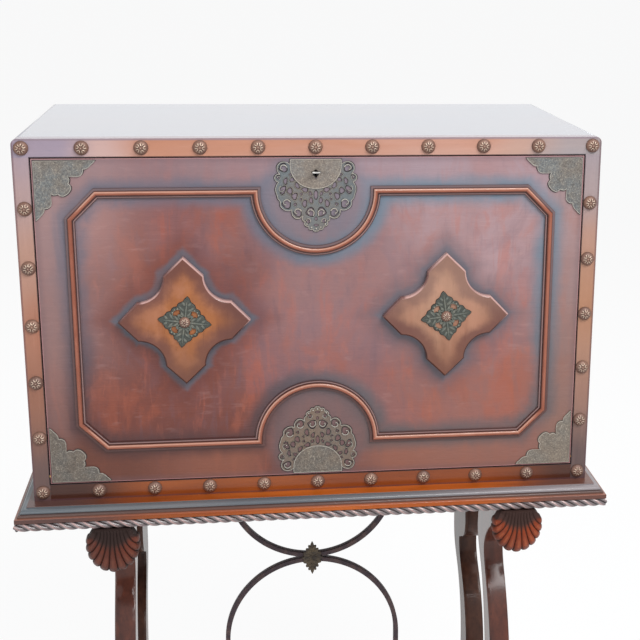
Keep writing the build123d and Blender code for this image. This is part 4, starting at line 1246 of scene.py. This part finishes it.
web_scrolls = (
    (48.4, 14.4, 6.8, 3.4, 0.7, 1.1), (55.2, 27.4, 3.6, 1.9, 0.6, 0.8), (49.4, 45.6, 6.2, -1.2, 0.6, 0.9),
    (44.2, 66.2, 7.0, 3.5, 0.7, 1.1), (28.0, 79.6, 6.6, 3.4, 0.7, 1.1), (9.2, 80.4, 7.0, 2.4, 0.75, 1.1),
    (12.4, 92.4, 4.6, 2.6, 0.7, 0.9),
)
web_beads = ((0.0, 104.6), (6.8, 102.6), (-6.8, 102.6), (13.6, 97.8), (-13.6, 97.8))
shield_half = [
    (38.0, 0.8, "c"), (38.2, 12.0, "c"), (36.6, 20.5), (31.0, 30.5), (21.5, 39.2), (10.5, 43.6), (0, 44.8),
]


def hole_of(side, hole, share=1.0, more=0.0):
    """A hole of the lace on one side, its sizes times share and more mm larger."""
    x, y, a, b, turn = hole
    return oval(side * x, y, a * share + more, (b * share + more) * side, side * turn, 0.5 * side)


def scroll(work, seat, x, y, radius, start, turns, thick, way):
    """A strand that winds in from radius to a round eye."""
    count = max(6, int(turns * 9))
    points = []
    for k in range(count + 1):
        angle = start + way * turns * 2 * pi * k / count
        reach = radius * (1 - 0.78 * k / count)
        points.append((x + reach * cos(angle), y + reach * sin(angle)))
    taper = [1.0 - 0.25 * k / count for k in range(count)] + [1.5]
    strand_of(work, seat, points, thick, lift=1.3, taper=taper)


def mount(name, node, seat, keyed):
    """A pierced mount, drawn away from the edge that it sits on."""
    work = bmesh.new()
    web = both_ways(web_half[::-1])
    shield = both_ways(shield_half[::-1])
    holes, shadows = [], []
    for share, loops in ((1.0, holes), (shadow_hole_share, shadows)):
        loops += [oval(x, y, a * share, b * share, turn) for x, y, a, b, turn in middle_holes]
        for side in (-1, 1):
            loops += [hole_of(side, hole, share) for hole in web_holes]
    keyhole = []
    if keyed:
        slot_top, slot_foot = key_drop + key_slot_top, key_drop + key_slot_foot
        keyhole = [[
            (key_slot, slot_top, "c"), (key_hole, key_drop), (0, key_drop - key_hole),
            (-key_hole, key_drop), (-key_slot, slot_top, "c"), (-key_slot, slot_foot, "c"),
            (key_slot, slot_foot, "c"),
        ]]
    # A near-black sheet under the lace, its holes smaller: a painted shadow round the mount and inside
    # each hole.
    shadow_sheet = [inset(web, -1.0, (0, 40))] + shadows + keyhole
    sheet_of(work, seat, shadow_sheet, shadow_sheet_thick, edge=0.1)
    sheet_of(work, seat, [web] + holes + keyhole, lace_thick)
    sheet_of(work, seat, [shield] + keyhole, shield_thick, edge=0.3)
    for outline, middle, lift in ((shield, (0, 14), 1.6), (web, (0, 40), 1.4)):
        rim = inset(outline, rim_radius, middle)
        strand_of(work, seat, rim, rim_radius, lift=lift, closed=True)
    for side in (-1, 1):
        for x, y, radius, start, turns, thick in web_scrolls:
            mirrored = start if side > 0 else pi - start
            scroll(work, seat, side * x, y, radius, mirrored, turns, thick, side)
        for hole in web_holes[:ringed_holes]:
            ring = hole_of(side, hole, more=ring_reach)
            strand_of(work, seat, ring, ring_radius, lift=1.35, closed=True)
    for x, y in web_beads:
        bead(work, seat, x, y, 1.2)
    piece(name, work, antique_brass, "antique_brass", "fall", node)


mount("keyhole_mount", "upper_mount", facing(0, face_y, edge_top, flip=(1, -1)), True)
mount("plain_mount", "lower_mount", facing(0, face_y, edge_foot), False)

# ---- lock and key
# A box lock let into the back of the fall, with a steel bolt that shoots up into a brass
# strike plate, and its small steel key, worn bright.

key_bow = 3 * mm
lock_steel = Finish("lock_steel")
brushed = lock_steel.noise(800, (1, 1, 0.05), detail=3)
spots = lock_steel.noise(45, detail=5, rough=0.7)
lock_steel.wear(
    Base_Color=spots.shades((0.5, (176, 172, 166)), (0.75, (116, 104, 92))), Metallic=0.9,
    Roughness=spots * 0.3 + 0.2, Normal=lock_steel.bump(brushed, 0.00003),
)
for part in ("lock_case", "lock_bolt"):
    dress(part, lock_steel)

key_steel = Finish("key_steel")
spots = key_steel.noise(120, detail=5, rough=0.7)
steel = spots.shades((0.5, (206, 204, 200)), (0.75, (140, 130, 120)))
# All but the front of the key is near black: painted shade inside the keyhole.
bow = (key_low.y + key_bow - key_steel.place()[1]).step(-0.0004, 0.0004)
key_steel.wear(
    Base_Color=key_steel.mix(bow, (20, 15, 15), steel), Metallic=0.8,
    Roughness=spots * 0.3 + 0.2 + (1 - bow) * 0.3, Normal=key_steel.bump(spots, 0.00003),
)
dress("key", key_steel)

# ---- lopers and shells
# Two bars slide out of the trestle heads to carry the fall. Each ends in a carved scallop
# shell: eleven ribs fan out from a neck in painted shade to rounded orange-red lobes, with
# painted highlights on the rib crests and painted shade between them; the left shell is
# painted darker, as in shadow.

shell_radius = 41.0
shell_sweep = radians(224)
shell_ribs = 11
shell_drop = 5.5
lobe_depth = 2.4
lobe_inset = 2.6
dome_x = 55.0
dome_y = 66.0
cup_depth = 4.0
lip_drop = 8.0
lip_start = 0.86
edge_thick = 3.0
shell_low, shell_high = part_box("loper_shell_right")
shell_x = (shell_low.x + shell_high.x) / 2
shell_z = shell_low.z + shell_radius * mm
neck_half = 26.0
neck_top = (shell_high.z - shell_z) / mm
shell_depth = (shell_high.y - shell_low.y) / mm
ear_x, ear_y, ear_size = 33.0, 19.0, 6.5


def shell():
    """One shell in mm on its drawing, its neck up and its dome towards the viewer."""
    work = bmesh.new()
    crest = work.verts.layers.float.new("crest")
    bmesh.ops.create_grid(work, x_segments=shell_ribs * 8, y_segments=36, size=0.5)
    for point in work.verts:
        fan = point.co.x + 0.5
        down = 0.5 - point.co.y
        rib = sqrt(abs(sin(pi * fan * shell_ribs)))
        aside = 2 * fan - 1
        angle = (fan - 0.5) * shell_sweep
        rim = shell_radius - lobe_inset + lobe_depth * rib + shell_drop * max(0.0, cos(angle)) ** 2
        start = Vector((neck_half * aside, neck_top))
        bend = Vector((neck_half * aside * (0.75 + 0.5 * aside * aside), 2.0 + 19.0 * aside ** 4))
        end = Vector((sin(angle), -cos(angle))) * rim
        spot = start * (1 - down) ** 2 + bend * 2 * down * (1 - down) + end * down ** 2
        ear = hill((abs(spot.x) - ear_x) ** 2 + (spot.y - ear_y) ** 2, ear_size ** 2)
        # lit and crest carry painted light: painted shade at the neck and in the grooves, lit towards the
        # lobes, darker on the ears.
        lit = clip((down - 0.34) / 0.4) * (1 - clip((down - lip_start) / 0.1) * 0.6)
        point[crest] = (0.12 + 0.88 * rib * rib) * lit * (1 - ear * 0.8)
        dome = shell_depth * sqrt(max(0.0, 1 - (spot.x / dome_x) ** 2 - (spot.y / dome_y) ** 2))
        carved = (1 - rib) * (1.0 + 2.6 * down) * (1 - ear)
        lip = max(0.0, (down - lip_start) / (1 - lip_start)) ** 2 * lip_drop
        height = dome - carved - lip - cup_depth * hill(down - 0.25, 0.25) + ear
        point.co = (spot.x, spot.y, max(edge_thick, height))
    wall = bmesh.ops.extrude_edge_only(work, edges=rim_of(work))
    for item in wall["geom"]:
        if isinstance(item, bmesh.types.BMVert):
            item.co.z = 0
            item[crest] = 0.1
    bmesh.ops.edgeloop_fill(work, edges=rim_of(work))
    bmesh.ops.recalc_face_normals(work, faces=work.faces)
    return mesh_of(work, "shell")


shell_wood = Finish("shell_wood")
crest = shell_wood.mark("crest")
grain = shell_wood.noise(160, (1, 1, 0.1), detail=5)
cloud = shell_wood.noise(30, detail=4)
rib = cloud.shades((0.3, (136, 54, 16)), (0.7, (108, 42, 16)))
# Dark where crest is low (painted shade), a painted highlight on the rib crests, and the left shell
# painted darker as in shadow.
shell_tone = shell_wood.glaze(
    crest.shades((0.0, (58, 41, 37)), (0.55, rib)),
    (crest.step(0.8, 1.0) * 0.35, (168, 84, 34)),
    (grain.step(0.55, 0.75) * 0.25, (64, 34, 28)),
    (shell_wood.place()[0].step(0.1, -0.3) * 0.6, (36, 28, 27)),
)
shell_wood.wear(
    Base_Color=shell_tone, Roughness=0.78 - crest * 0.4, Coat_Weight=crest * 0.5,
    Coat_Roughness=0.18, Specular_IOR_Level=0.15, Normal=shell_wood.bump(grain, 0.0001),
)
shell_mesh = shell()
for side, name in ((-1, "left"), (1, "right")):
    carving = bmesh.new()
    add_mesh(carving, shell_mesh, facing(side * shell_x, shell_high.y, shell_z))
    piece("shell_" + name, carving, shell_wood, "shell_wood", name + "_loper", "loper_shell_" + name)
    dress("loper_bar_" + name, wood("loper_" + name, stand_tones, "Y"), 0.6)
